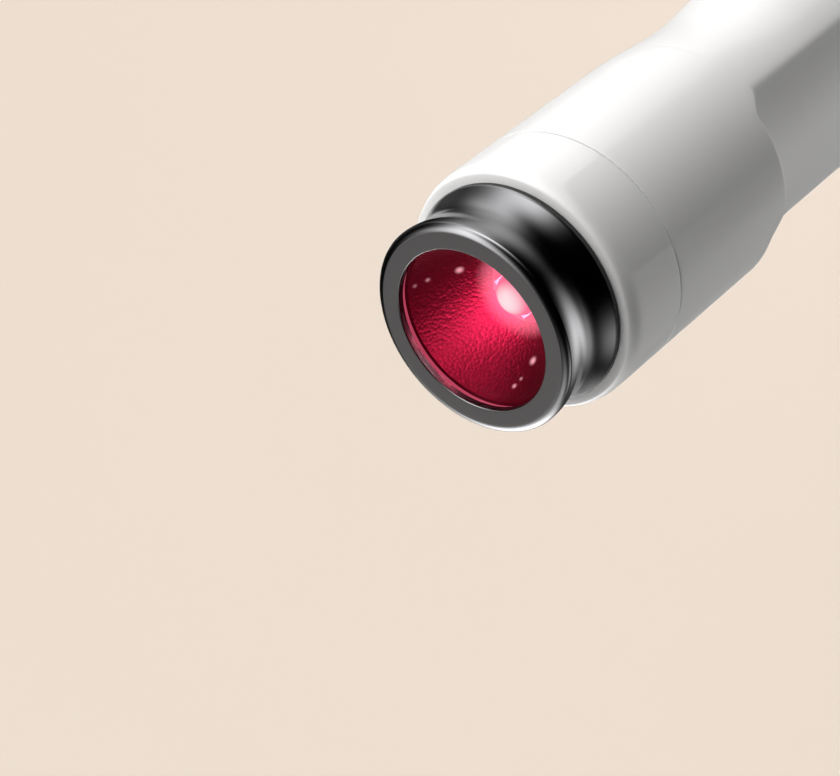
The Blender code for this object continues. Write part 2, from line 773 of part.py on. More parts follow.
def screw_holes(thing, low, high):
    """Two upright holes for the light source's screws, through a thing between two heights."""
    for side, place in (("left", -led_screw_reach), ("right", led_screw_reach)):
        hole = rod(f"{thing.name}_hole_{side}", LED_SCREW_RADIUS + SEAT, low, high)
        cut(thing, place_at(hole, place, 0))


def make_light_carriers(board_material, pad_material, sink_material):
    """The light's board, the pad behind it and the finned slug that takes the heat."""
    board = rod("led_board", fitted_radius, led_board_bottom, led_board_top, INNER_FACETS, board_material)
    pad = rod("thermal_pad", fitted_radius - PAD_INSET, pad_bottom, pad_top, INNER_FACETS, pad_material)
    fin_radius = fitted_radius - FIN_INSET
    outline = [(0, sink_bottom)]
    for index in range(FIN_COUNT):
        fin_low = sink_bottom + index * (FIN_THICKNESS + FIN_GAP)
        fin_high = fin_low + FIN_THICKNESS
        outline += [(fin_radius, fin_low), (fin_radius, fin_high), (SINK_HUB_RADIUS, fin_high)]
        outline.append((SINK_HUB_RADIUS, fin_high + FIN_GAP))
    outline += [(fitted_radius, sink_plate_bottom), (fitted_radius, sink_top), (0, sink_top)]
    sink = turned("heat_sink", outline, sink_material, INNER_FACETS)
    for thing in (board, pad, sink):
        cut(thing, make_wire_notch(f"{thing.name}_notch"))
        screw_holes(thing, sink_plate_bottom - FIN_GAP / 2, led_board_top + OVERRUN)


def screw_outline(radius, head_radius, head, tip, seat):
    """A pan-head screw with a round socket: the head stands on its seat, and the shank ends at the tip."""
    top = seat + head
    outline = [(0, tip), (radius, tip), (radius, seat), (head_radius, seat), (head_radius, top - head / 3)]
    outline += [(head_radius - head / 3, top), (SCREW_SOCKET_RADIUS, top)]
    return outline + [(SCREW_SOCKET_RADIUS, top - SCREW_SOCKET_DEPTH), (0, top - SCREW_SOCKET_DEPTH)]


def make_led_screws(material):
    """Two screws that clamp the light's board and pad to the heat sink."""
    seat = led_board_top + SEAT
    tip = sink_plate_bottom + SEAT
    outline = screw_outline(LED_SCREW_RADIUS, LED_SCREW_HEAD_RADIUS, LED_SCREW_HEAD, tip, seat)
    for side, place in (("left", -led_screw_reach), ("right", led_screw_reach)):
        place_at(turned(f"led_screw_{side}", outline, material, SMALL_FACETS), place, 0)


def make_collar(white, rubber):
    """The white collar behind the neck, the black seal in front of it and the ring seal inside it."""
    outline = [(collar_bore, collar_bottom), (head_radius - SEAM_CHAMFER, collar_bottom)]
    outline.append((head_radius, collar_bottom + SEAM_CHAMFER))
    for step in range(COLLAR_ROUND_POINTS):
        turn = math.pi / 2 * step / (COLLAR_ROUND_POINTS - 1)
        radius = head_radius - COLLAR_ROUND_WIDTH * (1 - math.cos(turn))
        height = collar_top - COLLAR_ROUND_LENGTH * (1 - math.sin(turn))
        outline.append((radius, height))
    outline += [(collar_hole, collar_top), (collar_hole, collar_web_bottom), (collar_bore, collar_web_bottom)]
    turned("head_collar", outline, white)
    low = collar_top + SQUEEZE
    high = neck_end - SQUEEZE
    outline = [(collar_hole, low), (neck_seal_radius, low), (neck_seal_radius, high), (collar_hole, high)]
    turned("neck_seal", outline, rubber, INNER_FACETS)
    middle = (groove_floor + collar_bore) / 2
    ring_seal("collar_seal", middle, (groove_top + groove_bottom) / 2, collar_bore - middle - SQUEEZE, rubber)


def ring_seal(name, radius, height, thickness, material):
    """A round-section ring; its thickness is the radius of that section."""
    turns = [math.tau * step / SEAL_SIDES for step in range(SEAL_SIDES)]
    outline = [(radius + thickness * math.cos(turn), height + thickness * math.sin(turn)) for turn in turns]
    turned(name, outline, material, INNER_FACETS)


def make_housing(material):
    """The one-piece housing: a spigot for the collar, the head, the shoulder and the grip."""
    rings = [round_ring(spigot_radius, spigot_top), round_ring(spigot_radius, groove_top)]
    rings += [round_ring(groove_floor, groove_top), round_ring(groove_floor, groove_bottom)]
    rings += [round_ring(spigot_radius, groove_bottom), round_ring(spigot_radius, housing_front)]
    rings.append(round_ring(head_radius - SEAM_CHAMFER, housing_front))
    rings.append(round_ring(head_radius, housing_front - SEAM_CHAMFER))
    rings.append(round_ring(head_radius, (housing_front + head_bore_end) / 2))
    rings += shoulder_rings()
    last = length - housing_tail - SEAM_CHAMFER
    for step in range(GRIP_RINGS):
        rings.append(grip_ring(grip_first_ring + (last - grip_first_ring) * step / (GRIP_RINGS - 1)))
    rings.append(round_ring(cap_radius - SEAM_CHAMFER, housing_tail))
    rings += bore_rings()
    housing = skinned("main_housing", rings, material, joined=True)
    top = back_radius(button_back)
    hole = rod("button_hole", button_hole, chassis_top, top + OVERRUN, INNER_FACETS)
    cut(housing, point_to_back(hole, button_height))
    landing = rod("button_landing", button_hole + LANDING_MARGIN, landing_height, top + OVERRUN, FACETS)
    cut(housing, point_to_back(landing, button_height))
    pipe = rod("pipe_hole", PIPE_RADIUS + SEAT, chassis_top, top + OVERRUN)
    cut(housing, point_to_back(pipe, pipe_height))


def bore_outline(clearance, top=None):
    """Outline of the grip's bore less a clearance, cut off flat at a top."""
    if top is None:
        angles = grip_angles()
    else:
        start = math.asin(top / (grip_bore_radius - clearance))
        sweep = math.pi + 2 * start
        angles = [start - sweep * step / BACK_FACETS for step in range(BACK_FACETS + 1)]
    reaches = [bore_reach(angle, clearance) for angle in angles]
    return [(reach * math.cos(angle), reach * math.sin(angle)) for reach, angle in zip(reaches, angles)]


def tray_outline():
    """Outline of the space for the cell: round below, with straight sides up through the top."""
    radius = CELL_RADIUS + SEAT
    half = tray_half
    start = math.acos(half / radius)
    sweep = math.pi + 2 * start
    angles = [start - sweep * step / BACK_FACETS for step in range(BACK_FACETS + 1)]
    outline = [(radius * math.cos(angle), radius * math.sin(angle)) for angle in angles]
    return outline + [(-half, chassis_top + OVERRUN), (half, chassis_top + OVERRUN)]


def make_chassis(material):
    """The tray that slides into the grip: it carries the cell, its contacts and the control board."""
    chassis = prism("chassis", bore_outline(SEAT, chassis_top), chassis_tail, chassis_front, material)
    cut(chassis, prism("cell_bay", tray_outline(), bay_tail, bay_front))
    cut(chassis, prism("front_bay", tray_outline(), bulkhead_front, chassis_front + OVERRUN))
    low = (RIBBON_INNER_EDGE - SEAT, ribbon_low - RIBBON_THICKNESS - SEAT, chassis_tail - OVERRUN)
    high = (RIBBON_INNER_EDGE + RIBBON_WIDTH + SEAT, chassis_top + OVERRUN, bay_tail + OVERRUN)
    cut(chassis, block("ribbon_notch", low, high))
    for side, place in (("left", -board_screw_spread), ("right", board_screw_spread)):
        low = on_board - BOARD_SCREW_LENGTH - SEAT - SEAT
        hole = rod(f"chassis_hole_{side}", BOARD_SCREW_RADIUS + SEAT, low, chassis_top + OVERRUN)
        cut(chassis, point_to_back(hole, board_screw_height, place))


def make_cell(wrap, steel):
    """The rechargeable cell: its wrapped can and its raised positive terminal."""
    can_top = cell_top - TERMINAL_HEIGHT - SEAT
    inner = CELL_RADIUS - CELL_EDGE
    outline = [(0, cell_bottom), (inner, cell_bottom), (CELL_RADIUS, cell_bottom + CELL_EDGE)]
    outline += [(CELL_RADIUS, can_top - CELL_EDGE), (inner, can_top), (0, can_top)]
    turned("battery_cell", outline, wrap, INNER_FACETS)
    rod("battery_terminal", TERMINAL_RADIUS, cell_top - TERMINAL_HEIGHT, cell_top, SMALL_FACETS, steel)


def make_contacts(metal):
    """The sprung contact at the cell's tail, with a strip to the board, and the flat one at its front."""
    half = CONTACT_WIDTH / 2
    strip_low = board_bottom
    low = (-half, -half, tail_contact_bottom)
    plate = block("tail_contact", low, (half, half - SEAT, tail_contact_top), metal)
    edge = CONTACT_TAB_WIDTH - half
    low = (-half, 0, tail_contact_bottom)
    cut(plate, block("contact_tab", low, (edge, strip_low + CONTACT_THICKNESS, tail_contact_top)), "UNION")
    low = (-half, strip_low, tail_contact_bottom)
    high = (edge, strip_low + CONTACT_THICKNESS, board_tail - SEAT)
    cut(plate, block("contact_strip", low, high), "UNION")
    low = (-half, -half, front_contact_bottom)
    block("front_contact", low, (half, board_bottom - SEAT, front_contact_top), metal)
    count = SPRING_TURN_COUNT * SPRING_POINTS_EACH_TURN
    points = []
    rise = SPRING_HEIGHT - 2 * SPRING_WIRE
    for step in range(count + 1):
        share = step / count
        radius = SPRING_FOOT_RADIUS + (SPRING_TIP_RADIUS - SPRING_FOOT_RADIUS) * share
        turn = math.tau * SPRING_TURN_COUNT * share
        height = spring_foot + SPRING_WIRE + rise * share
        points.append((radius * math.cos(turn), radius * math.sin(turn), height))
    tube("tail_spring", points, SPRING_WIRE, metal)


def make_board(board_material, chip_material, screw_material):
    """The control board, its chips and the two screws that hold it to the chassis."""
    half = board_half
    high = (half, board_top, board_front)
    board = block("control_board", (-half, board_bottom, board_tail), high, board_material)
    chip("inductor", INDUCTOR_SIDE, INDUCTOR_HEIGHT, inductor_height, chip_material)
    chip("charger_chip", CHARGER_SIDE, CHARGER_HEIGHT, charger_height, chip_material)
    along = button_height + CONTROLLER_AHEAD_OF_BUTTON
    chip("controller_chip", CONTROLLER_SIDE, CONTROLLER_HEIGHT, along, chip_material)
    tip = on_board - BOARD_SCREW_LENGTH
    outline = screw_outline(BOARD_SCREW_RADIUS, BOARD_SCREW_HEAD_RADIUS, BOARD_SCREW_HEAD, tip, on_board)
    for side, place in (("left", -board_screw_spread), ("right", board_screw_spread)):
        hole = rod(f"board_hole_{side}", BOARD_SCREW_RADIUS + SEAT, chassis_top, on_board)
        cut(board, point_to_back(hole, board_screw_height, place))
        screw = turned(f"board_screw_{side}", outline, screw_material, SMALL_FACETS)
        point_to_back(screw, board_screw_height, place)


def make_switch(body_material, plunger_material):
    """The tact switch on the board, and its plunger, which sinks into the well in its body."""
    body = chip("switch_body", SWITCH_SIDE, SWITCH_HEIGHT, button_height, body_material)
    well = rod("switch_well", PLUNGER_RADIUS + SEAT, switch_top - SWITCH_WELL_DEPTH, switch_top + OVERRUN)
    cut(body, point_to_back(well, button_height))
    ends = (plunger_bottom, plunger_top)
    plunger = rod("switch_plunger", PLUNGER_RADIUS, *ends, SMALL_FACETS, plunger_material)
    point_to_back(plunger, button_height)


def make_button(button_material, ring_material):
    """The round power button, held by its flange under a metal ring pressed into the housing."""
    edge = RING_WIDTH / 3
    outline = [(ring_inner, ring_bottom), (ring_outer, ring_bottom), (ring_outer, ring_top - edge)]
    outline += [(ring_outer - edge, ring_top), (ring_inner, ring_top)]
    point_to_back(turned("button_ring", outline, ring_material, INNER_FACETS), button_height)
    top = ring_top + BUTTON_PROUD
    flange = button_hole - BUTTON_FLANGE_GAP
    outline = [(0, stem_bottom), (BUTTON_STEM_RADIUS, stem_bottom), (BUTTON_STEM_RADIUS, flange_bottom)]
    outline += [(flange, flange_bottom), (flange, flange_top), (BUTTON_RADIUS, flange_top)]
    outline += [(BUTTON_RADIUS, top - BUTTON_ROUND), (BUTTON_RADIUS - BUTTON_ROUND, top)]
    outline += [(BUTTON_RADIUS / 2, top - BUTTON_DISH * 3 / 4), (0, top - BUTTON_DISH)]
    point_to_back(turned("power_button", outline, button_material, INNER_FACETS), button_height)


def make_charge_light(clear, chip_material):
    """The small light on the board and the clear pipe that brings it out through the back."""
    chip("indicator_led", INDICATOR_SIDE, INDICATOR_HEIGHT, pipe_height, chip_material)
    low = on_board + INDICATOR_HEIGHT + SEAT
    high = back_radius(button_back + PIPE_BEHIND_BUTTON) + PIPE_PROUD
    point_to_back(rod("light_pipe", PIPE_RADIUS, low, high, SMALL_FACETS, clear), pipe_height)


def make_wires(red, black):
    """Two wires from the front of the control board, through the notch, to the light's board."""
    start = board_front + SEAT
    end = led_board_top - LED_BOARD_THICKNESS / 2
    for name, side, material in (("led_wire_red", 1, red), ("led_wire_black", -1, black)):
        points = [(side * WIRE_SPREAD, wire_height, start)]
        for step in range(1, WIRE_RUN_POINTS + 1):
            share = step / WIRE_RUN_POINTS
            sag = WIRE_DIP * bump(2 * share - 1)
            points.append((side * WIRE_SPREAD, wire_height - sag, start + (sink_bottom - start) * share))
        points.append((side * WIRE_SPREAD, wire_height, end))
        tube(name, points, WIRE_RADIUS, material)


def make_ribbon(material):
    """The flat cable from the charging board, up over the cell's end, to the control board."""
    high = board_bottom + BOARD_THICKNESS / 2
    climb = bay_tail - SEAT
    path = [(ribbon_low, port_board_top + SEAT), (ribbon_low, climb), (high, climb + RIBBON_RISE)]
    path.append((high, board_tail - SEAT))
    first = RIBBON_INNER_EDGE
    last = RIBBON_INNER_EDGE + RIBBON_WIDTH
    lean = math.atan2(high - ribbon_low, RIBBON_RISE)
    leans = [0.0, lean / 2, lean / 2, 0.0]
    rings = []
    for (y, z), tilt in zip(path, leans):
        half = RIBBON_THICKNESS / 2 / math.cos(tilt)
        away_y = half * math.cos(tilt)
        away_z = half * math.sin(tilt)
        ring = [(first, y - away_y, z + away_z), (last, y - away_y, z + away_z)]
        rings.append(ring + [(last, y + away_y, z - away_z), (first, y + away_y, z - away_z)])
    skinned("charge_ribbon", rings, material)


def make_port(frame_material, board_material, steel, tongue_material):
    """The charging socket on its round board, inside the frame that closes the grip's tail."""
    frame = prism("port_frame", bore_outline(SEAT), frame_flange_bottom, frame_flange_top, frame_material)
    boss = rod("port_boss", frame_radius, frame_nose, frame_flange_bottom + FRAME_FLANGE / 2, FACETS)
    cut(frame, boss, "UNION")
    bore = rod("port_bore", frame_bore, frame_nose + FRAME_END_WALL, frame_flange_top + OVERRUN, FACETS)
    cut(frame, bore)
    wide = USB_WIDTH + 2 * USB_SLOT_GAP
    high = USB_HEIGHT + 2 * USB_SLOT_GAP
    slot_top = frame_nose + FRAME_END_WALL + SEAT
    cut(frame, prism("port_slot", oblong(wide, high), frame_nose - OVERRUN, slot_top))
    rod("charging_board", frame_bore - SEAT, port_board_bottom, port_board_top, INNER_FACETS, board_material)
    shell = prism("usb_shell", oblong(USB_WIDTH, USB_HEIGHT), usb_mouth, usb_back, steel)
    inside = oblong(USB_WIDTH - 2 * USB_SHELL, USB_HEIGHT - 2 * USB_SHELL)
    cut(shell, prism("usb_inside", inside, usb_mouth - OVERRUN, usb_back + OVERRUN))
    half = TONGUE_WIDTH / 2
    thin = TONGUE_THICKNESS / 2
    block("usb_tongue", (-half, -thin, usb_mouth + TONGUE_SETBACK), (half, thin, usb_back), tongue_material)


def cap_circle(radius, height, flute=0.0):
    """A ring of the tail cap, scalloped by the flute's depth."""
    ring = []
    for step in range(CAP_FACETS):
        angle = math.tau * step / CAP_FACETS
        reach = radius - flute * (1 + math.cos(FLUTE_COUNT * angle)) / 2
        ring.append((reach * math.cos(angle), reach * math.sin(angle), height))
    return ring


def thread_ring(height):
    """A ring of the cap's thread."""
    ring = []
    for step in range(CAP_FACETS):
        angle = math.tau * step / CAP_FACETS
        reach = thread_radius(angle, height)
        ring.append((reach * math.cos(angle), reach * math.sin(angle), height))
    return ring


def make_tail_cap(material, rubber):
    """The screw cap: a flat end to stand on, a fluted rim, a seal groove and a threaded sleeve."""
    tilt = CAP_END_ROUND * (1 - math.sqrt(2) / 2)
    rings = [cap_circle(cap_radius - CAP_END_ROUND, 0), cap_circle(cap_radius - tilt, tilt)]
    rings.append(cap_circle(cap_radius, CAP_END_ROUND))
    rings.append(cap_circle(cap_radius, FLUTE_FROM - FLUTE_RUNOUT))
    rings.append(cap_circle(cap_radius, FLUTE_FROM, FLUTE_DEPTH))
    rings.append(cap_circle(cap_radius, FLUTE_TO, FLUTE_DEPTH))
    rings.append(cap_circle(cap_radius, FLUTE_TO + FLUTE_RUNOUT))
    rings.append(cap_circle(cap_radius, CAP_LENGTH - SEAM_CHAMFER))
    rings.append(cap_circle(cap_radius - SEAM_CHAMFER, CAP_LENGTH))
    half = CAP_GROOVE_WIDTH / 2
    rings.append(cap_circle(cap_groove_radius + half, CAP_LENGTH))
    rings.append(cap_circle(cap_groove_radius + half, CAP_LENGTH - CAP_GROOVE_DEPTH))
    rings.append(cap_circle(cap_groove_radius - half, CAP_LENGTH - CAP_GROOVE_DEPTH))
    rings.append(cap_circle(cap_groove_radius - half, CAP_LENGTH))
    for height in thread_heights(CAP_LENGTH, sleeve_top - SLEEVE_CHAMFER):
        rings.append(thread_ring(height))
    rings.append(cap_circle(thread_root - SLEEVE_CHAMFER / 2, sleeve_top))
    rings.append(cap_circle(sleeve_bore, sleeve_top))
    rings.append(cap_circle(sleeve_bore, CAP_FLOOR))
    skinned("tail_cap", rings, material)
    low = CAP_LENGTH - CAP_GROOVE_DEPTH
    thickness = (housing_tail - low) / 2 - SQUEEZE / 2
    ring_seal("tail_seal", cap_groove_radius, (housing_tail + low) / 2, thickness, rubber)


def clear_scene():
    """Empties the scene."""
    for thing in list(bpy.data.objects):
        bpy.data.objects.remove(thing, do_unlink=True)


def main():
    """Builds every piece of the torch."""
    clear_scene()
    white = finish("satin_white", (0.86, 0.86, 0.85), 0.38)
    chrome = finish("dark_chrome", (0.16, 0.16, 0.17), 0.22, 1.0)
    bright = finish("reflector_red", (0.55, 0.03, 0.06), 0.2, 1.0)
    glass = finish("window_clear", (0.95, 0.95, 0.95), 0.05)
    rubber = finish("seal_black", (0.02, 0.02, 0.02), 0.6)
    silicone = finish("dome_silicone", (1.0, 0.75, 0.78), 0.15)
    ceramic = finish("package_white", (0.8, 0.78, 0.7), 0.5)
    metal_board = finish("board_white", (0.75, 0.75, 0.72), 0.45)
    green_board = finish("board_green", (0.02, 0.14, 0.06), 0.4)
    pad = finish("pad_grey", (0.35, 0.38, 0.42), 0.8)
    aluminium = finish("aluminium_bare", (0.7, 0.7, 0.71), 0.35, 1.0)
    steel = finish("steel_bare", (0.6, 0.6, 0.6), 0.3, 1.0)
    nickel = finish("contact_nickel", (0.72, 0.68, 0.6), 0.3, 1.0)
    black = finish("plastic_black", (0.03, 0.03, 0.03), 0.45)
    natural = finish("plastic_grey", (0.3, 0.31, 0.32), 0.55)
    wrap = finish("cell_wrap", (0.05, 0.2, 0.45), 0.35)
    wire_red = finish("wire_red", (0.6, 0.03, 0.03), 0.45)
    wire_black = finish("wire_black", (0.03, 0.03, 0.03), 0.45)
    ribbon = finish("ribbon_amber", (0.55, 0.28, 0.05), 0.4)
    make_bezel(chrome)
    make_window(glass, rubber)
    make_reflector(bright)
    make_light_source(silicone, ceramic)
    make_light_carriers(metal_board, pad, aluminium)
    make_led_screws(steel)
    make_collar(white, rubber)
    make_housing(white)
    make_chassis(natural)
    make_cell(wrap, steel)
    make_contacts(nickel)
    make_board(green_board, black, steel)
    make_switch(black, natural)
    make_button(white, chrome)
    make_charge_light(glass, ceramic)
    make_wires(wire_red, wire_black)
    make_ribbon(ribbon)
    make_port(black, green_board, steel, black)
    make_tail_cap(white, rubber)


main()
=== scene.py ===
"""A hand-held red light torch in a plain studio.

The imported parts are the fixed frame. Every piece that shows is worked out again as a fine surface
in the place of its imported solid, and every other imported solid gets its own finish. +Z runs along
the torch towards the light and +Y to its round back, where the button is.
"""

import math

import bmesh
import bpy
import numpy as np
from mathutils import Matrix, Vector


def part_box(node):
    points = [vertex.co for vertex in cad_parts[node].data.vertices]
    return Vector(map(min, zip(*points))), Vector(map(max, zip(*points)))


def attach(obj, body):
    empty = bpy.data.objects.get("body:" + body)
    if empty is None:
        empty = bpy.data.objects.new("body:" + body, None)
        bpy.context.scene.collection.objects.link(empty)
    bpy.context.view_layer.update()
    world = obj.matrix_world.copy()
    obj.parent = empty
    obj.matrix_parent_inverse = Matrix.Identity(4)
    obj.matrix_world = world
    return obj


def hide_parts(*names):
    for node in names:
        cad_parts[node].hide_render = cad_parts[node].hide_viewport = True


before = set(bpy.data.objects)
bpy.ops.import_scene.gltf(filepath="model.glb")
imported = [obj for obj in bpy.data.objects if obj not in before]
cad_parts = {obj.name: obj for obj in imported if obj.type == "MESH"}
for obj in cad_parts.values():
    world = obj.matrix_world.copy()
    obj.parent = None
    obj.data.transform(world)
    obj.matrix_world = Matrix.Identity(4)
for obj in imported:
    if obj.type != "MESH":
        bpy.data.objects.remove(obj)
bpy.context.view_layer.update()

MM = 0.001

# Columns round a turned piece, and the finest steps along its profile
ROUND_COLUMNS = 192
SMALL_COLUMNS = 96
FILLET_STEPS = 6
LONGEST_STEP = 0.6 * MM
WELD = 0.0001 * MM
SHARP_ANGLE = math.radians(40)

# Small rounds that break an edge
FINE_EDGE = 0.05 * MM
EDGE = 0.1 * MM
SOFT_EDGE = 0.2 * MM

# Nose bezel
LIP_STEP = 2.39 * MM
LIP_ROUND_WIDTH = 1.4 * MM
LIP_ROUND_LENGTH = 0.8 * MM
LIP_ROUND_STEPS = 12
LIP_BAND = 0.1 * MM
LIP_SLOPE = 4.0 * MM
OPENING_ROUND = 0.16 * MM
OPENING_LIP = 0.6 * MM
FLANGE_WIDTH = 1.95 * MM
FLANGE_THICKNESS = 0.8 * MM
BEZEL_WALL = 1.0 * MM
WAIST_WALL = 0.9 * MM
WAIST_BAND = 0.6 * MM
FLARE_BAND = 0.05 * MM
FLARE_ROUND = 0.02 * MM
NECK_LENGTH = 9.65 * MM
SLOPE_STEPS = 14

# Window and reflector
LENS_ROUND = 0.1 * MM
CLOSE_FIT = 0.04 * MM
REFLECTOR_WALL = 0.8 * MM
REFLECTOR_RIM = 0.55 * MM
REFLECTOR_FLANGE = 0.8 * MM
REFLECTOR_LEDGE = 1.1 * MM
REFLECTOR_BACK_EVERY = 5
REFLECTOR_BASE_RADIUS = 4.543 * MM
REFLECTOR_ROWS = 70
STIPPLE_SIZE = 0.42 * MM
STIPPLE_DEPTH = 0.045 * MM
DOME_STEPS = 24

# Painted glints in the bowl, spots of painted highlight standing for reflections of the light:
# degrees round, drop below its mouth, radius, and brightness
PAINTED_GLINTS = [
    (125, 0.8 * MM, 0.45 * MM, 0.3),
    (122, 2.3 * MM, 0.5 * MM, 0.45),
    (115, 5.7 * MM, 0.8 * MM, 0.9),
    (-106, 5.0 * MM, 0.8 * MM, 1.0),
    (-114, 3.0 * MM, 0.4 * MM, 0.6),
    (-118, 2.1 * MM, 0.5 * MM, 0.8),
]

# Collar and its seals
COLLAR_WALL = 0.95 * MM
COLLAR_WEB = 2.6 * MM
COLLAR_ROUND_WIDTH = 0.75 * MM
COLLAR_ROUND_LENGTH = 2.2 * MM
COLLAR_ROUND_STEPS = 10
SPIGOT_WALL = 1.3 * MM
SEAT = 0.3 * MM
SEAL_STEPS = 20
SEAM_ROUND = 0.04 * MM
SEAM_SHOWN = 0.22 * MM
PARTING_GAP = 0.25 * MM
COLLAR_GROOVE_BACK = 3.5 * MM
COLLAR_GROOVE_WIDTH = 1.3 * MM
COLLAR_GROOVE_DEPTH = 0.75 * MM

# Shoulder
SHOULDER_BACK = 46.8 * MM
SHOULDER_CORNER_DROP = 2.0 * MM
SHOULDER_UNDER_LIFT = 2.5 * MM
SHOULDER_CORNER_SWEEP = math.radians(12)
SHOULDER_UNDER_FROM = math.radians(50)
SHOULDER_UNDER_SWEEP = math.radians(15)
SHOULDER_ROUND = 0.45 * MM
SHOULDER_DRAFT = 0.3 * MM
SHOULDER_STEPS = 6
ROUND_SHARE = 0.45
FOOT_GROWTH = 2.4 * MM
FOOT_FROM = math.radians(15)
FOOT_SWEEP = math.radians(45)

# Grip section
CREASE_ANGLE = math.radians(-5.8)
FLANK_FIRST_SLOPE = math.radians(25)
FLANK_LAST_SLOPE = math.radians(52)
FLANK_REACH = 12.335 * MM
KEEL_RISE = 2.7 * MM
CREASE_SOFTNESS = 0.2 * MM
CREASE_SPAN = math.radians(3)
HOUSING_WALL = 1.8 * MM
BACK_WALL = 2.2 * MM

# Columns and rows of the housing's skin
BACK_COLUMNS = 110
CREASE_COLUMNS = 20
BELOW_COLUMNS = 150
LEAD_ROWS = 5
HEAD_ROWS = 46
GRIP_ROWS = 120
CUTTER_REACH = 5 * MM

# Grip along its length
WAIST_BACK = 60.3 * MM
WAIST_SPAN = 17.0 * MM
WAIST_DEPTH = 0.95 * MM
SWELL_BACK = 92.8 * MM
SWELL_SPAN = 45.0 * MM
SWELL_HEIGHT = 0.8 * MM
TAIL_ROUND_LENGTH = 7.7 * MM
TAIL_BLEND_SPAN = 26.0 * MM

# Tail cap and its thread
CAP_COLUMNS = 288
CAP_FLOOR = 2.5 * MM
CAP_LENGTH = 10.0 * MM
CAP_END_ROUND = 1.5 * MM
FLUTE_COUNT = 12
FLUTE_DEPTH = 0.6 * MM
FLUTE_FROM = 2.6 * MM
FLUTE_TO = 7.6 * MM
FLUTE_RUNOUT = 1.3 * MM
FLUTED_SKIN = 0.5 * MM
CAP_GROOVE_INSET = 2.4 * MM
CAP_GROOVE_WIDTH = 1.4 * MM
CAP_GROOVE_DEPTH = 0.9 * MM
SLEEVE_BORE = 10.3 * MM
SLEEVE_WALL = 0.9 * MM
SLEEVE_CHAMFER = 0.4 * MM
THREAD_DEPTH = 0.6 * MM
THREAD_PITCH = 2.0 * MM
THREAD_GAP = 0.3 * MM
THREAD_ROWS = 34

# Button, its ring and its landing
BUTTON_ROUND = 0.45 * MM
BUTTON_DISH = 0.25 * MM
DISH_START = 0.98
DISH_STEPS = 14
BUTTON_STEM_RADIUS = 2.0 * MM
BUTTON_FLANGE = 0.7 * MM
RING_WIDTH = 0.8 * MM
RING_ROUND = 0.25 * MM
RING_PROUD = 0.3 * MM
LANDING_MARGIN = 2.4 * MM
PIPE_DOME = 0.3 * MM
PIPE_STEPS = 10

# Camera, worked out from the photograph with the picture's centre at its middle
PICTURE_WIDTH = 840
FOCAL_PIXELS = 2500
SENSOR_WIDTH = 36.0
CAMERA_PLACE = (0.23398, 0.0, 0.35614)
CAMERA_RIGHT = (0.4916, -0.6235, -0.6080)
CAMERA_UP = (0.3868, 0.7819, -0.4890)
CAMERA_BACK = (0.7802, 0.0052, 0.6255)
CLIP_NEAR, CLIP_FAR = 0.01, 10

# Floor and sky
FLOOR_HALF = 1.5
FLOOR_COLOURS = ((0.882, 0.768, 0.668), (0.896, 0.782, 0.682))
FLOOR_LOOK = {"Roughness": 0.9, "Specular IOR Level": 0.1}
SKY_TINT = (1.0, 0.99, 0.98, 1)

# The light inside the dome, the dome's own glow, and the painted glow and glints on the bowl round
# it, standing for that light
GLOW_POWER = 0.03
GLOW_COLOUR = (1.0, 0.90, 0.95)
GLOW_RADIUS = 2.2 * MM
GLOW_RISE = 0.4 * MM
DOME_GLOW = ((1.0, 0.18, 0.32), (1.0, 0.85, 0.88))
DOME_PINK_RISE = 1.6 * MM
DOME_WHITE_PAST = 0.3 * MM
DOME_LOOK = {
    "Base Color": (0.1, 0.01, 0.02, 1),
    "Specular IOR Level": 0.2,
    "Roughness": 0.4,
    "Emission Strength": 0.95,
}
# Painted crimson glow over the bowl, standing for the red light that fills it
BOWL_PAINTED_GLOW = ((0.04, 0.0004, 0.003), (0.03, 0.0003, 0.002))
# Painted pink glow at the bowl's foot, standing for the dome's light, and the height where it fades
# out
PAINTED_FOOT_GLOW = (0.5, 0.13, 0.19)
PAINTED_FOOT_HEIGHT = 1.7 * MM
# Colour of the painted glints
PAINTED_GLINT_COLOUR = (1.0, 0.42, 0.5)

# Metals: darkest and lightest colour, then roughness
# The bowl's deep crimson is a painted tint, standing for the LED's red light on bright metal
BOWL_METAL_PAINTED_RED = ((0.10, 0.0024, 0.0105), (0.115, 0.003, 0.0125))
BOWL_ROUGH = (0.48, 0.56)
# The turned bowl's look; its emission strength shows the painted glow and glints
TURNED_LOOK = {
    "Metallic": 1.0,
    "Anisotropic": 0.8,
    "Anisotropic Rotation": 0.25,
    "Emission Strength": 1.0,
}
PLATING = ((0.152, 0.153, 0.158), (0.172, 0.173, 0.179))
FRONT_RING = (0.106, 0.103, 0.103)
PLATING_ROUGH, FRONT_ROUGH = 0.16, 0.62
FRONT_FADE_FROM, FRONT_FADE_TO = 0.05 * MM, 0.01 * MM

# Grain: fine scale, broad scale, share of the broad one, and depth
PLAIN_GRAIN = (3000, 80, 0.3, 0.004 * MM)
PLATING_GRAIN = (1800, 90, 0.2, 0.0012 * MM)
GLASS_GRAIN = (300, 40, 0.5, 0.0004 * MM)
BOARD_GRAIN = (2500, 90, 0.3, 0.003 * MM)
FLOOR_GRAIN = (900, 8, 0.3, 0.002 * MM)
FINE_DETAIL, BROAD_DETAIL = 3.0, 4.0

# Glass and circuit board
TINT_DRIFT = 0.02
BOARD_TRACKS = {
    "Color1": (0.015, 0.12, 0.05, 1),
    "Color2": (0.01275, 0.102, 0.0425, 1),
    "Mortar": (0.04, 0.22, 0.09, 1),
    "Mortar Size": 0.03,
    "Scale": 260.0,
}
TRACK_OFFSET = 0.35
BOARD_ROUGH = (0.3, 0.45)

# Numbers of the mix node's share and two ends, since their names repeat
MIX_NUMBERS = (0, 2, 3)
MIX_COLOURS = (0, 6, 7)


def span(name, axis):
    """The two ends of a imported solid's box along an axis."""
    return [getattr(corner, axis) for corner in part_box(name)]


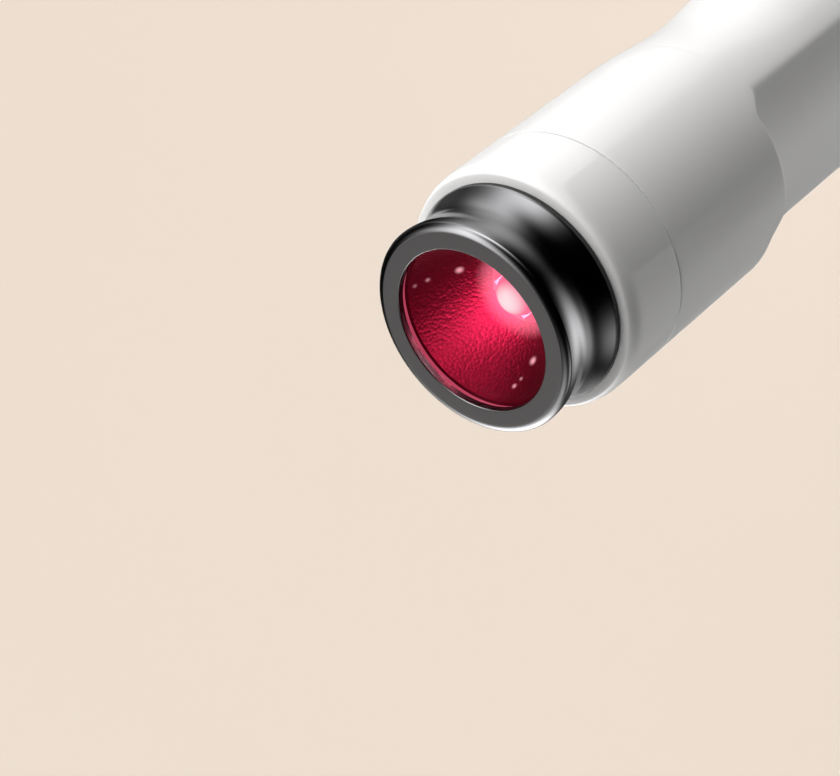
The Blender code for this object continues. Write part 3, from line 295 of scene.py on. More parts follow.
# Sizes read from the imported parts
flare_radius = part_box("nose_bezel")[1].x
skirt_end, length = span("nose_bezel", "z")
head_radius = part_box("head_collar")[1].x
collar_bottom, collar_top = span("head_collar", "z")
housing_tail, spigot_top = span("main_housing", "z")
cap_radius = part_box("tail_cap")[1].x
sleeve_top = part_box("tail_cap")[1].z
fitted_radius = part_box("lens")[1].x
lens_bottom, lens_top = span("lens", "z")
bowl_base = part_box("reflector")[0].z
dome_base, dome_top = span("led_dome", "z")
dome_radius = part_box("led_dome")[1].x
button_height = sum(span("power_button", "z")) / 2
stem_bottom, button_top = span("power_button", "y")
button_flange_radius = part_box("power_button")[1].x
ring_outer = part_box("button_ring")[1].x
ring_bottom, ring_top = span("button_ring", "y")
pipe_height = sum(span("light_pipe", "z")) / 2
pipe_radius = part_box("light_pipe")[1].x
pipe_low, pipe_high = span("light_pipe", "y")

# Radii from the head inwards
collar_bore = head_radius - COLLAR_WALL
spigot_radius = collar_bore - SEAT
collar_hole = spigot_radius - SPIGOT_WALL
skirt_radius = collar_hole - SEAT
bezel_bore = skirt_radius - BEZEL_WALL
lip_radius = head_radius - LIP_STEP
waist_radius = bezel_bore + WAIST_WALL
opening_radius = bezel_bore - FLANGE_WIDTH
mouth_radius = opening_radius - EDGE
mouth_height = lens_bottom - CLOSE_FIT
flange_back = length - FLANGE_THICKNESS
neck_end = length - NECK_LENGTH
housing_front = collar_bottom - PARTING_GAP
ledge_height = sleeve_top + SEAT
thread_root = SLEEVE_BORE + SLEEVE_WALL
keel_reach = head_radius - KEEL_RISE
grip_bore_radius = head_radius - WAIST_DEPTH - BACK_WALL
head_bore_end = length - SHOULDER_BACK + SHOULDER_UNDER_LIFT + HOUSING_WALL
tail_blend_from = length - housing_tail - TAIL_ROUND_LENGTH - TAIL_BLEND_SPAN
button_radius = ring_outer - RING_WIDTH - SEAT
button_hole = ring_outer + SEAT
landing_height = ring_top - RING_PROUD
flank_gain = FLANK_REACH - head_radius * math.cos(FLANK_LAST_SLOPE - CREASE_ANGLE)
flank_radius = flank_gain / (1 - math.cos(FLANK_LAST_SLOPE - FLANK_FIRST_SLOPE))
skin_fold = CREASE_ANGLE - FLANK_FIRST_SLOPE / 2
bore_fold = CREASE_ANGLE - FLANK_FIRST_SLOPE


# ---- surfaces


def bump(share):
    """A smooth hill: (1 + cos(pi x)) / 2 between -1 and 1, and 0 outside."""
    return np.where(np.abs(share) < 1, (1 + np.cos(np.pi * share)) / 2, 0.0)


def ramp(share):
    """A smooth climb from 0 to 1 as the share goes from 0 to 1."""
    return 1 - bump(np.clip(share, 0, 1))


def quarter(steps):
    """Angles through a quarter turn."""
    return np.linspace(0, math.pi / 2, steps)


def add_object(name, data):
    """A new object in the scene."""
    thing = bpy.data.objects.new(name, data)
    bpy.context.scene.collection.objects.link(thing)
    return thing


def grid_object(name, grid, round_rows=False):
    """A grid of points, rows by columns by 3, as a closed smooth mesh.

    The last column meets the first, and the last row meets the first where round_rows is set.
    Points that fall together, such as a row on the axis, are merged.
    """
    rows, columns = grid.shape[:2]
    index = np.arange(rows * columns).reshape(rows, columns)
    index = np.concatenate([index, index[:, :1]], axis=1)
    if round_rows:
        index = np.concatenate([index, index[:1]], axis=0)
    corners = [index[:-1, :-1], index[:-1, 1:], index[1:, 1:], index[1:, :-1]]
    faces = np.stack(corners, axis=-1).reshape(-1, 4)
    mesh = bpy.data.meshes.new(name)
    mesh.from_pydata(grid.reshape(-1, 3).tolist(), [], faces.tolist())
    shape = bmesh.new()
    shape.from_mesh(mesh)
    bmesh.ops.remove_doubles(shape, verts=shape.verts, dist=WELD)
    bmesh.ops.recalc_face_normals(shape, faces=shape.faces)
    shape.to_mesh(mesh)
    shape.free()
    smooth(mesh)
    return add_object(name, mesh)


def smooth(mesh):
    """Smooth shading, but for edges that turn more than the sharp angle."""
    mesh.shade_smooth()
    mesh.set_sharp_from_angle(angle=SHARP_ANGLE)


def filleted(corners):
    """A closed outline of (radius, height, fillet) corners with each corner rounded by its fillet.

    The arc leaves the first side at fillet / tan(half the corner's angle) from the corner, and its
    points turn evenly about the arc's centre. Long sides get more points between.
    """
    corners = np.array(corners, float)
    points = corners[:, :2]
    outline = []
    for index in range(len(points)):
        corner = points[index]
        back = points[index - 1] - corner
        ahead = points[(index + 1) % len(points)] - corner
        outline.append(arc_at(corner, back, ahead, corners[index, 2]))
    return with_steps(np.concatenate(outline))


def sharp(radii, heights):
    """Corners of an outline that stay unrounded."""
    return [(radius, height, 0) for radius, height in zip(radii, heights)]


def arc_at(corner, back, ahead, fillet):
    """The arc that rounds one corner, or the corner alone where its fillet is 0."""
    if fillet == 0:
        return corner[None]
    back_way = back / np.linalg.norm(back)
    ahead_way = ahead / np.linalg.norm(ahead)
    half = math.acos(np.clip(back_way @ ahead_way, -1, 1)) / 2
    run = fillet / math.tan(half)
    middle = back_way + ahead_way
    centre = corner + middle / np.linalg.norm(middle) * fillet / math.sin(half)
    first = corner + back_way * run - centre
    last = corner + ahead_way * run - centre
    sweep = math.pi - 2 * half
    shares = np.linspace(0, 1, FILLET_STEPS + 1)[:, None]
    turned_first = np.sin((1 - shares) * sweep) * first
    turned_last = np.sin(shares * sweep) * last
    return centre + (turned_first + turned_last) / math.sin(sweep)


def with_steps(outline):
    """A closed outline with no side longer than the longest step."""
    ahead = np.roll(outline, -1, axis=0)
    pieces = []
    for start, end in zip(outline, ahead):
        count = max(1, math.ceil(np.linalg.norm(end - start) / LONGEST_STEP))
        pieces.append(start + (end - start) * (np.arange(count) / count)[:, None])
    return np.concatenate(pieces)


def capped(corners, low, high):
    """A filleted outline that runs from the axis at one height to the axis at another."""
    outline = filleted(corners)
    return np.concatenate([[[0, low]], outline[outline[:, 0] > 0], [[0, high]]])


def polar_rows(angles, reach, height):
    """Rows of points at angles round Z, from a reach and a height each: one number or an array."""
    angles, reach, height = np.broadcast_arrays(angles, reach, height)
    return np.stack([reach * np.cos(angles), reach * np.sin(angles), height], axis=-1)


def turned_grid(outline, columns=ROUND_COLUMNS):
    """An outline of (radius, height) carried once round the Z axis."""
    turns = np.linspace(0, math.tau, columns, endpoint=False)
    return polar_rows(turns, outline[:, :1], outline[:, 1:])


def back_grid(outline, along):
    """An outline carried round an axis that points to the torch's back, at a height along it."""
    x, y, z = np.moveaxis(turned_grid(outline, SMALL_COLUMNS), -1, 0)
    return np.stack([x, z, along - y], axis=-1)


def dress(thing, body, nodes, material):
    """Puts a finished piece on its body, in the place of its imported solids."""
    thing.data.materials.clear()
    thing.data.materials.append(material)
    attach(thing, body)
    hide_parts(*nodes)


# ---- nose


def make_bezel(material):
    """The spool: a flat lip with a rounded rim, a slope to the waist, a flare and the skirt.

    The rim is a quarter ellipse. The slope to the waist follows (1 - cos(pi x)) / 2, and the flare
    follows 1 - cos(pi x / 2), steepest at its end.
    """
    lip_end = length - LIP_ROUND_LENGTH - LIP_BAND
    waist_start = lip_end - LIP_SLOPE
    waist_end = waist_start - WAIST_BAND
    flare_start = neck_end + FLARE_BAND
    shares = np.linspace(0, 1, SLOPE_STEPS)
    inner_end = lens_top + CLOSE_FIT
    front = [(opening_radius + OPENING_LIP, height, 0) for height in (flange_back, inner_end)]
    front += [(opening_radius, inner_end, FINE_EDGE), (opening_radius, length, OPENING_ROUND)]
    turns = quarter(LIP_ROUND_STEPS)
    rim = lip_radius - LIP_ROUND_WIDTH * (1 - np.sin(turns))
    front += sharp(rim, length - LIP_ROUND_LENGTH * (1 - np.cos(turns)))
    down = lip_radius + (waist_radius - lip_radius) * ramp(shares)
    up = waist_radius + (flare_radius - waist_radius) * (1 - np.cos(shares * math.pi / 2))
    slope = sharp(down, lip_end - LIP_SLOPE * shares)
    slope += sharp(up, waist_end - (waist_end - flare_start) * shares)
    back = [(flare_radius, neck_end, FLARE_ROUND), (skirt_radius, neck_end, EDGE)]
    back += [(skirt_radius, skirt_end, SOFT_EDGE), (bezel_bore, skirt_end, EDGE)]
    back.append((bezel_bore, flange_back, EDGE))
    grid = turned_grid(filleted(front + slope + back))
    dress(grid_object("bezel", grid, True), "root", ["nose_bezel"], material)


def make_window(material):
    """The clear disc, with its edges broken."""
    corners = [(0, lens_bottom, 0), (fitted_radius, lens_bottom, LENS_ROUND)]
    corners += [(fitted_radius, lens_top, LENS_ROUND), (0, lens_top, 0)]
    grid = turned_grid(capped(corners, lens_bottom, lens_top))
    dress(grid_object("window", grid), "root", ["lens"], material)


def bowl_radius(drop):
    """The bowl's radius at a drop below its mouth: its square falls evenly, as in a paraboloid."""
    steepness = (mouth_radius**2 - REFLECTOR_BASE_RADIUS**2) / (mouth_height - bowl_base)
    return np.sqrt(mouth_radius**2 - steepness * drop)


def make_reflector(material):
    """The bowl's skin with its foot, its ledge and its rim."""
    drop = np.linspace(0, mouth_height - bowl_base, REFLECTOR_ROWS)
    inner = bowl_radius(drop)
    ledge_top = mouth_height - REFLECTOR_LEDGE
    ledge_bottom = ledge_top - REFLECTOR_FLANGE
    rim = mouth_radius + REFLECTOR_RIM
    below = drop > mouth_height - ledge_bottom + SOFT_EDGE
    skin = np.stack([inner, mouth_height - drop], axis=-1)
    outer = (skin + [REFLECTOR_WALL, 0])[below][::-REFLECTOR_BACK_EVERY]
    shell = [(rim, ledge_bottom), (fitted_radius, ledge_bottom), (fitted_radius, ledge_top)]
    shell += [(rim, ledge_top), (rim, mouth_height)]
    grid = turned_grid(np.concatenate([skin, outer, np.array(shell)]))
    dress(grid_object("bowl", grid, True), "root", ["reflector"], material)


def make_dome(material):
    """The silicone dome: half a sphere with a flat foot."""
    turns = quarter(DOME_STEPS)
    height = dome_base + (dome_top - dome_base) * np.sin(turns)
    outline = np.stack([dome_radius * np.cos(turns), height], axis=-1)
    outline[-1, 0] = 0
    grid = turned_grid(np.concatenate([[[0, dome_base]], outline]), SMALL_COLUMNS)
    dome = grid_object("dome", grid)
    dome.visible_shadow = False
    dress(dome, "root", ["led_dome"], material)


def make_ring_seal(name, solid, body, material):
    """A round-section rubber ring in the place of its solid, whose section is a hexagon."""
    low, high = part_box(solid)
    thickness = (high.z - low.z) / math.sqrt(3)
    turns = np.linspace(0, math.tau, SEAL_STEPS, endpoint=False)
    radius = high.x - thickness + thickness * np.cos(turns)
    height = (low.z + high.z) / 2 + thickness * np.sin(turns)
    grid = turned_grid(np.stack([radius, height], axis=-1))
    dress(grid_object(name, grid, True), body, [solid], material)


def make_neck_seal(material):
    """The flat black ring in the seam between the neck and the collar."""
    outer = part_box("neck_seal")[1].x
    low, high = collar_top + CLOSE_FIT, neck_end - CLOSE_FIT
    corners = [(collar_hole, low, 0), (outer, low, EDGE)]
    corners += [(outer, high, EDGE), (collar_hole, high, 0)]
    grid = turned_grid(filleted(corners))
    dress(grid_object("seam_seal", grid, True), "root", ["neck_seal"], material)


def make_collar(material):
    """The white collar: a quarter-ellipse front edge, a web behind it and a straight bore."""
    turns = quarter(COLLAR_ROUND_STEPS)
    radius = head_radius - COLLAR_ROUND_WIDTH * (1 - np.cos(turns))
    height = collar_top - COLLAR_ROUND_LENGTH * (1 - np.sin(turns))
    web = collar_top - COLLAR_WEB
    bottom = housing_front + SEAM_SHOWN
    corners = [(collar_bore, bottom, FINE_EDGE), (head_radius, bottom, SEAM_ROUND)]
    corners += sharp(radius, height)
    corners += [(collar_hole, collar_top, SOFT_EDGE), (collar_hole, web, EDGE)]
    corners.append((collar_bore, web, 0))
    grid = turned_grid(filleted(corners))
    dress(grid_object("collar", grid, True), "root", ["head_collar"], material)


# ---- housing


def folded(angles):
    """An angle round the axis as the slope on the +X side: -90 degrees at the back, 90 below."""
    return np.arctan2(-np.sin(angles), np.abs(np.cos(angles)))


def slope_way(slope):
    """The outward direction of a skin whose slope is counted from +X down towards the keel."""
    return np.array([math.cos(slope), -math.sin(slope)])


def circle_reach(centre, radius, turn):
    """How far a ray from the axis travels before it leaves a circle, or passes nearest to it."""
    along = centre[0] * np.cos(turn) - centre[1] * np.sin(turn)
    return along + np.sqrt(np.maximum(along**2 - centre @ centre + radius**2, 0))


def lower_reach(turn, inset=0.0):
    """Distance from the axis to the flank's arc, its flat and the round keel, in that order."""
    last_way = slope_way(FLANK_LAST_SLOPE)
    centre = head_radius * slope_way(CREASE_ANGLE) - flank_radius * slope_way(FLANK_FIRST_SLOPE)
    distance = centre @ last_way + flank_radius
    steepness = math.sin(FLANK_LAST_SLOPE)
    keel_radius = (distance - keel_reach * steepness) / (1 - steepness)
    keel_centre = np.array([0, keel_radius - keel_reach])
    arc_end = centre + (flank_radius - inset) * last_way
    keel_start = keel_centre + (keel_radius - inset) * last_way
    arc = circle_reach(centre, flank_radius - inset, turn)
    flat = (distance - inset) / np.cos(turn - FLANK_LAST_SLOPE)
    keel = circle_reach(keel_centre, keel_radius - inset, turn)
    past_arc = turn > math.atan2(-arc_end[1], arc_end[0])
    past_flat = turn > math.atan2(-keel_start[1], keel_start[0])
    return np.where(past_flat, keel, np.where(past_arc, flat, arc))


def back_radius(back):
    """The round back's radius along the grip: a shallow waist, then a swell for the palm."""
    waist = WAIST_DEPTH * bump((back - WAIST_BACK) / WAIST_SPAN)
    swell = SWELL_HEIGHT * bump((back - SWELL_BACK) / SWELL_SPAN)
    return head_radius - waist + swell


def head_reach(angles, back):
    """The head's skin: a circle whose back half stretches with the grip's back."""
    turn = folded(angles)
    stretched = 1 / np.hypot(np.cos(turn) / head_radius, np.sin(turn) / back_radius(back))
    return np.where(turn < 0, stretched, head_radius)


def grip_reach(angles, back):
    """The grip's skin: the nearer of its round back and its flank, with the crease just softened.

    Two reaches a and b meet as -k log(exp(-a / k) + exp(-b / k)), k being the crease's softness.
    """
    turn = folded(angles)
    round_back = head_reach(angles, back)
    flank = lower_reach(np.maximum(turn, skin_fold))
    apart = (flank - round_back) / CREASE_SOFTNESS
    nearer = round_back - CREASE_SOFTNESS * np.logaddexp(0, -apart)
    return np.where(turn < skin_fold, round_back, nearer)


def bore_reach(angles):
    """The grip's inner wall: the back's bore, or the flank less the housing's wall."""
    turn = folded(angles)
    flank = lower_reach(np.maximum(turn, bore_fold), HOUSING_WALL)
    inner = np.minimum(grip_bore_radius, flank)
    return np.where(turn < bore_fold, grip_bore_radius, inner)


def shoulder_back(angles):
    """Distance of the shoulder's edge from the front face, round the torch."""
    turn = folded(angles)
    corner = 1 - ramp((turn - CREASE_ANGLE) / SHOULDER_CORNER_SWEEP)
    under = ramp((turn - SHOULDER_UNDER_FROM) / SHOULDER_UNDER_SWEEP)
    return SHOULDER_BACK + SHOULDER_CORNER_DROP * corner - SHOULDER_UNDER_LIFT * under


def section_angles():
    """Angles round the section, close together at each crease and even between."""
    right, left = -CREASE_ANGLE, math.pi + CREASE_ANGLE
    near = np.linspace(-CREASE_SPAN, CREASE_SPAN, CREASE_COLUMNS)[1:-1]
    back = np.linspace(right + CREASE_SPAN, left - CREASE_SPAN, BACK_COLUMNS)
    below = np.linspace(left + CREASE_SPAN, math.tau + right - CREASE_SPAN, BELOW_COLUMNS)
    return np.concatenate([back, left + near, below, right + near])


def thread_reach(angles, height):
    """A right-handed ridge of triangular section that climbs one pitch each turn."""
    phase = (height / THREAD_PITCH - angles / math.tau) % 1
    return thread_root + THREAD_DEPTH * (1 - np.abs(2 * phase - 1))


def head_rows(angles):
    """The head from its parting line to just before the shoulder."""
    start = length - housing_front
    edge = shoulder_back(angles) - SHOULDER_ROUND
    shares = np.linspace(0, 1, HEAD_ROWS)[:, None]
    back = start + SEAM_ROUND + (edge - start - SEAM_ROUND) * shares
    turns = quarter(LEAD_ROWS)[:-1, None]
    lead = start + SEAM_ROUND * (1 - np.sin(turns))
    lead_reach = head_radius - SEAM_ROUND * (1 - np.cos(turns))
    lead_rows = polar_rows(angles, lead_reach, length - lead)[::-1]
    return np.concatenate([lead_rows, polar_rows(angles, head_reach(angles, back), length - back)])


def shoulder_rows(angles):
    """The step from the head's skin down to the grip's: a round edge, a wall and a round foot.

    Both rounds are quarter ellipses, lower where the step is low, and the foot grows longer below.
    """
    edge = shoulder_back(angles)
    head = head_reach(angles, edge)
    drop = np.maximum(head - grip_reach(angles, edge), 0)
    radius = np.minimum(SHOULDER_ROUND, drop * ROUND_SHARE)
    turns = quarter(SHOULDER_STEPS)[:, None]
    top_back = edge - SHOULDER_ROUND * (1 - np.sin(turns))
    top_reach = head - radius * (1 - np.cos(turns))
    foot = foot_length(angles)
    foot_back = edge + SHOULDER_DRAFT + foot * (1 - np.cos(turns))
    foot_rise = np.minimum(foot * ROUND_SHARE, drop / 2)
    foot_reach = grip_reach(angles, foot_back) + foot_rise * (1 - np.sin(turns))
    back = np.concatenate([top_back[1:], foot_back])
    reach = np.concatenate([top_reach[1:], foot_reach])
    return polar_rows(angles, reach, length - back)


def foot_length(angles):
    """Length of the round foot behind the shoulder: short at the crease and longer below."""
    return SHOULDER_ROUND + FOOT_GROWTH * ramp((folded(angles) - FOOT_FROM) / FOOT_SWEEP)


def grip_rows(angles):
    """The grip from the shoulder's foot to the tail, where its section grows round."""
    start = shoulder_back(angles) + SHOULDER_DRAFT + foot_length(angles)
    end = length - housing_tail - SEAM_ROUND
    shares = np.linspace(0, 1, GRIP_ROWS)[1:, None]
    back = start + (end - start) * shares
    reach = grip_reach(angles, back)
    roundness = ramp((back - tail_blend_from) / TAIL_BLEND_SPAN)
    reach = reach + (cap_radius - reach) * roundness
    return polar_rows(angles, reach, length - back)


def bore_rows(angles):
    """From tail to front: the tail's face, its inner thread, the grip's bore and the head's."""
    face_reach = np.array([cap_radius - SEAM_ROUND, thread_root + THREAD_DEPTH + 2 * THREAD_GAP])
    face = polar_rows(angles, face_reach[:, None], housing_tail)
    heights = np.linspace(housing_tail + THREAD_GAP, ledge_height, THREAD_ROWS)[:, None]
    threads = polar_rows(angles, thread_reach(angles, heights) + THREAD_GAP, heights)
    grip_heights = np.array([ledge_height + SEAT, head_bore_end])[:, None]
    grip = polar_rows(angles, bore_reach(angles), grip_heights)
    head_heights = np.array([head_bore_end + SEAT, spigot_top])[:, None]
    head = polar_rows(angles, collar_hole, head_heights)
    return np.concatenate([face, threads, grip, head])


def spigot_rows(angles):
    """The spigot's outside, with its seal groove, from the front back to the parting line."""
    top = spigot_top - COLLAR_GROOVE_BACK
    bottom = top - COLLAR_GROOVE_WIDTH
    floor = spigot_radius - COLLAR_GROOVE_DEPTH
    reaches = [spigot_radius, spigot_radius, floor, floor, spigot_radius, spigot_radius]
    heights = [spigot_top, top, top, bottom, bottom, housing_front]
    return polar_rows(angles, np.array(reaches)[:, None], np.array(heights)[:, None])


def cutter(name, radius, low, high, along):
    """A plain round cutter that points to the torch's back."""
    outline = np.array([(0, low), (radius, low), (radius, high), (0, high)])
    return grid_object(name, back_grid(outline, along))


def cut_away(thing, cutters):
    """Cuts the cutters out of a piece for good, and removes them."""
    for tool in cutters:
        change = thing.modifiers.new(tool.name, "BOOLEAN")
        change.operation = "DIFFERENCE"
        change.solver = "EXACT"
        change.object = tool
    bpy.context.view_layer.update()
    shown = thing.evaluated_get(bpy.context.evaluated_depsgraph_get())
    mesh = bpy.data.meshes.new_from_object(shown)
    thing.modifiers.clear()
    thing.data = mesh
    smooth(mesh)
    for tool in cutters:
        bpy.data.objects.remove(tool)


def make_housing(material):
    """The one-piece housing: head, shoulder, grip and everything inside, cut for the button."""
    angles = section_angles()
    rows = [head_rows(angles), shoulder_rows(angles), grip_rows(angles), bore_rows(angles)]
    rows.append(spigot_rows(angles))
    housing = grid_object("housing", np.concatenate(rows), True)
    above = head_radius + CUTTER_REACH
    landing = button_hole + LANDING_MARGIN
    tools = [
        cutter("button_cutter", button_hole, button_hole, above, button_height),
        cutter("landing_cutter", landing, landing_height, above, button_height),
        cutter("pipe_cutter", pipe_radius + SEAT, button_hole, above, pipe_height),
    ]
    cut_away(housing, tools)
    dress(housing, "root", ["main_housing"], material)


# ---- button


def make_button(button_material, ring_material, pipe_material):
    """The power button with its dished top, the ring that holds it, and the charge light's pipe."""
    ring_inner = ring_outer - RING_WIDTH
    corners = [(ring_inner, ring_bottom, EDGE), (ring_outer, ring_bottom, EDGE)]
    corners += [(ring_outer, ring_top, RING_ROUND), (ring_inner, ring_top, RING_ROUND)]
    grid = back_grid(filleted(corners), button_height)
    dress(grid_object("ring", grid, True), "root", ["button_ring"], ring_material)
    flange_top = ring_bottom - SEAT
    flange_bottom = flange_top - BUTTON_FLANGE
    corners = [(0, stem_bottom, 0), (BUTTON_STEM_RADIUS, stem_bottom, EDGE)]
    corners.append((BUTTON_STEM_RADIUS, flange_bottom, EDGE))
    corners += [(button_flange_radius, height, EDGE) for height in (flange_bottom, flange_top)]
    corners += [(button_radius, flange_top, EDGE), (button_radius, button_top, BUTTON_ROUND)]
    rim = button_radius - BUTTON_ROUND
    shares = np.linspace(DISH_START, 0, DISH_STEPS)
    dish = button_top - BUTTON_DISH * (1 - shares**2) ** 2
    corners += sharp(rim * shares, dish)
    grid = back_grid(capped(corners, stem_bottom, button_top - BUTTON_DISH), button_height)
    dress(grid_object("button", grid), "button", ["power_button"], button_material)
    turns = quarter(PIPE_STEPS)
    height = pipe_high - PIPE_DOME * (1 - np.sin(turns))
    dome = np.stack([pipe_radius * np.cos(turns), height], axis=-1)
    dome[-1, 0] = 0
    outline = np.concatenate([[[0, pipe_low], [pipe_radius, pipe_low]], dome])
    grid = back_grid(outline, pipe_height)
    dress(grid_object("pipe", grid), "root", ["light_pipe"], pipe_material)


# ---- tail


def make_tail_cap(material):
    """The screw cap: a round-edged end, soft flutes, a seal groove and a threaded sleeve.

    A flute's depth is (1 + cos(12 a)) / 2 round the cap, faded in and out along it.
    """
    turns = np.linspace(0, math.tau, CAP_COLUMNS, endpoint=False)
    groove = cap_radius - CAP_GROOVE_INSET
    half = CAP_GROOVE_WIDTH / 2
    low = CAP_LENGTH - CAP_GROOVE_DEPTH
    corners = [(0, 0, 0), (cap_radius, 0, CAP_END_ROUND), (cap_radius, CAP_LENGTH, SEAM_ROUND)]
    corners += [(groove + half, CAP_LENGTH, EDGE), (groove + half, low, EDGE)]
    corners += [(groove - half, low, EDGE), (groove - half, CAP_LENGTH, EDGE)]
    corners += [(thread_root, CAP_LENGTH, 0)]
    outline = filleted(corners)
    outline = outline[outline[:, 0] > 0]
    last = np.flatnonzero(outline[:, 1] >= CAP_LENGTH)[-1]
    outline = np.concatenate([[[0, 0]], outline[: last + 1]])
    radius, height = outline[:, :1], outline[:, 1:]
    rise = ramp((height - FLUTE_FROM + FLUTE_RUNOUT) / FLUTE_RUNOUT)
    fall = ramp((FLUTE_TO + FLUTE_RUNOUT - height) / FLUTE_RUNOUT)
    skin = radius > cap_radius - FLUTED_SKIN
    flute = FLUTE_DEPTH * rise * fall * (1 + np.cos(FLUTE_COUNT * turns)) / 2
    outside = polar_rows(turns, radius - np.where(skin, flute, 0), height)
    heights = np.linspace(CAP_LENGTH, sleeve_top - SLEEVE_CHAMFER, THREAD_ROWS)[:, None]
    sleeve = polar_rows(turns, thread_reach(turns, heights), heights)
    inside = [(thread_root, sleeve_top), (SLEEVE_BORE, sleeve_top), (SLEEVE_BORE, CAP_FLOOR)]
    inside = np.array([*inside, (0, CAP_FLOOR)])
    bore = polar_rows(turns, inside[:, :1], inside[:, 1:])
    cap = grid_object("cap", np.concatenate([outside, sleeve, bore]))
    dress(cap, "cap", ["tail_cap"], material)


# ---- finishes


def fill(tree, made, inputs):
    """Sets a node's inputs by their names or numbers, each to a value or to a link."""
    for key, source in inputs.items():
        if isinstance(source, bpy.types.NodeSocket):
            tree.links.new(source, made.inputs[key])
        else:
            made.inputs[key].default_value = source


def node(tree, kind, inputs, **settings):
    """A new node with its inputs filled and its settings."""
    made = tree.nodes.new(kind)
    for key, value in settings.items():
        setattr(made, key, value)
    fill(tree, made, inputs)
    return made


def maths(tree, operation, first, second):
    """A maths node's result for two numbers."""
    return node(tree, "ShaderNodeMath", {0: first, 1: second}, operation=operation).outputs[0]


def measure(tree, operation, first, second):
    """The distance or the dot product of two vectors."""
    made = node(tree, "ShaderNodeVectorMath", {0: first, 1: second}, operation=operation)
    return made.outputs["Value"]


def fade(tree, value, ends):
    """Maps a value smoothly from one range to another."""
    inputs = {"Value": value, **ends}
    return node(tree, "ShaderNodeMapRange", inputs, interpolation_type="SMOOTHSTEP").outputs[0]


def spread(tree, value, low, high):
    """Maps a 0 to 1 value to a range."""
    inputs = {"Value": value, "To Min": low, "To Max": high}
    return node(tree, "ShaderNodeMapRange", inputs).outputs[0]


def blend_colour(tree, share, low, high):
    """Mixes two colours by a value. Each is three numbers or an output."""
    low, high = [(*end, 1) if isinstance(end, tuple) else end for end in (low, high)]
    inputs = dict(zip(MIX_COLOURS, (share, low, high)))
    return node(tree, "ShaderNodeMix", inputs, data_type="RGBA").outputs[2]


def relief(tree, height, depth):
    """A normal bent by a height times a depth."""
    inputs = {"Strength": 1.0, "Distance": depth, "Height": height}
    return node(tree, "ShaderNodeBump", inputs).outputs[0]


def new_group(name, vectors, numbers, outputs):
    """An empty shader group with its named inputs, and outputs that are numbers."""
    group = bpy.data.node_groups.new(name, "ShaderNodeTree")
    sockets = [("INPUT", "Vector", label) for label in vectors]
    sockets += [("INPUT", "Float", label) for label in numbers]
    sockets += [("OUTPUT", "Float", label) for label in outputs]
    for side, kind, label in sockets:
        group.interface.new_socket(name=label, in_out=side, socket_type="NodeSocket" + kind)
    return group, group.nodes.new("NodeGroupInput").outputs, group.nodes.new("NodeGroupOutput")


def placed(tree, name, inputs):
    """The outputs of a shared group, placed with its own values."""
    made = node(tree, "ShaderNodeGroup", {}, node_tree=bpy.data.node_groups[name])
    fill(tree, made, inputs)
    return made.outputs


def make_grain_group():
    """Fine moulded or blasted grain: two noises, one fine and one broad, as a height and a tone."""
    numbers = ["Fine Scale", "Broad Scale", "Broad Share"]
    group, given, result = new_group("grain", ["Point"], numbers, ["Height", "Tone"])
    noises = []
    for label, detail in zip(numbers, (FINE_DETAIL, BROAD_DETAIL)):
        inputs = {"Vector": given["Point"], "Scale": given[label], "Detail": detail}
        noises.append(node(group, "ShaderNodeTexNoise", inputs).outputs[0])
    inputs = dict(zip(MIX_NUMBERS, (given["Broad Share"], *noises)))
    mix = node(group, "ShaderNodeMix", inputs, data_type="FLOAT")
    fill(group, result, {"Height": mix.outputs[0], "Tone": noises[1]})


def make_height_group():
    """A mask that climbs smoothly from 0 to 1 between two heights along the torch."""
    group, given, result = new_group("height_mask", ["Point"], ["Low", "High"], ["Mask"])
    split = node(group, "ShaderNodeSeparateXYZ", {0: given["Point"]})
    ends = {"From Min": given["Low"], "From Max": given["High"]}
    fill(group, result, {"Mask": fade(group, split.outputs["Z"], ends)})


def make_painted_glint_group():
    """A mask that is a painted glint's brightness at its middle and falls to 0 at its edge."""
    group, given, result = new_group("painted_glint", ["Point", "Middle"], ["Size", "Brightness"], ["Mask"])
    gap = measure(group, "DISTANCE", given["Point"], given["Middle"])
    ends = {"From Max": given["Size"], "To Min": given["Brightness"], "To Max": 0.0}
    fill(group, result, {"Mask": fade(group, gap, ends)})


def new_material(name):
    """A material with its Principled shader and the piece's own coordinates."""
    material = bpy.data.materials.new(name)
    material.use_nodes = True
    tree = material.node_tree
    place = node(tree, "ShaderNodeTexCoord", {})
    return material, tree, tree.nodes["Principled BSDF"], place.outputs["Object"]


def grained(tree, point, shader, fine, broad, share, depth):
    """Adds grain to a shader's normal and returns its tone."""
    values = {"Point": point, "Fine Scale": fine, "Broad Scale": broad, "Broad Share": share}
    grain = placed(tree, "grain", values)
    fill(tree, shader, {"Normal": relief(tree, grain["Height"], depth)})
    return grain["Tone"]


def height_mask(tree, point, low, high):
    """The shared height mask, placed between two heights."""
    return placed(tree, "height_mask", {"Point": point, "Low": low, "High": high})["Mask"]


def plain_finish(name, dark, light, rough, metallic=0.0):
    """A moulded, painted or bare metal finish: colour and roughness drift a little, with grain."""
    material, tree, shader, point = new_material(name)
    tone = grained(tree, point, shader, *PLAIN_GRAIN)
    colour = blend_colour(tree, tone, dark, light)
    roughness = spread(tree, tone, *rough)
    fill(tree, shader, {"Base Color": colour, "Roughness": roughness, "Metallic": metallic})
    return material


def painted_glow_finish(name, dark, light, glow):
    """A plain finish with a painted red glow: emission standing for the dome's light on it."""
    material = plain_finish(name, dark, light, PAINTED_GLOW_ROUGH)
    tree = material.node_tree
    painted_glow_look = {"Emission Color": (*glow, 1), "Emission Strength": 1.0}
    fill(tree, tree.nodes["Principled BSDF"], painted_glow_look)
    return material


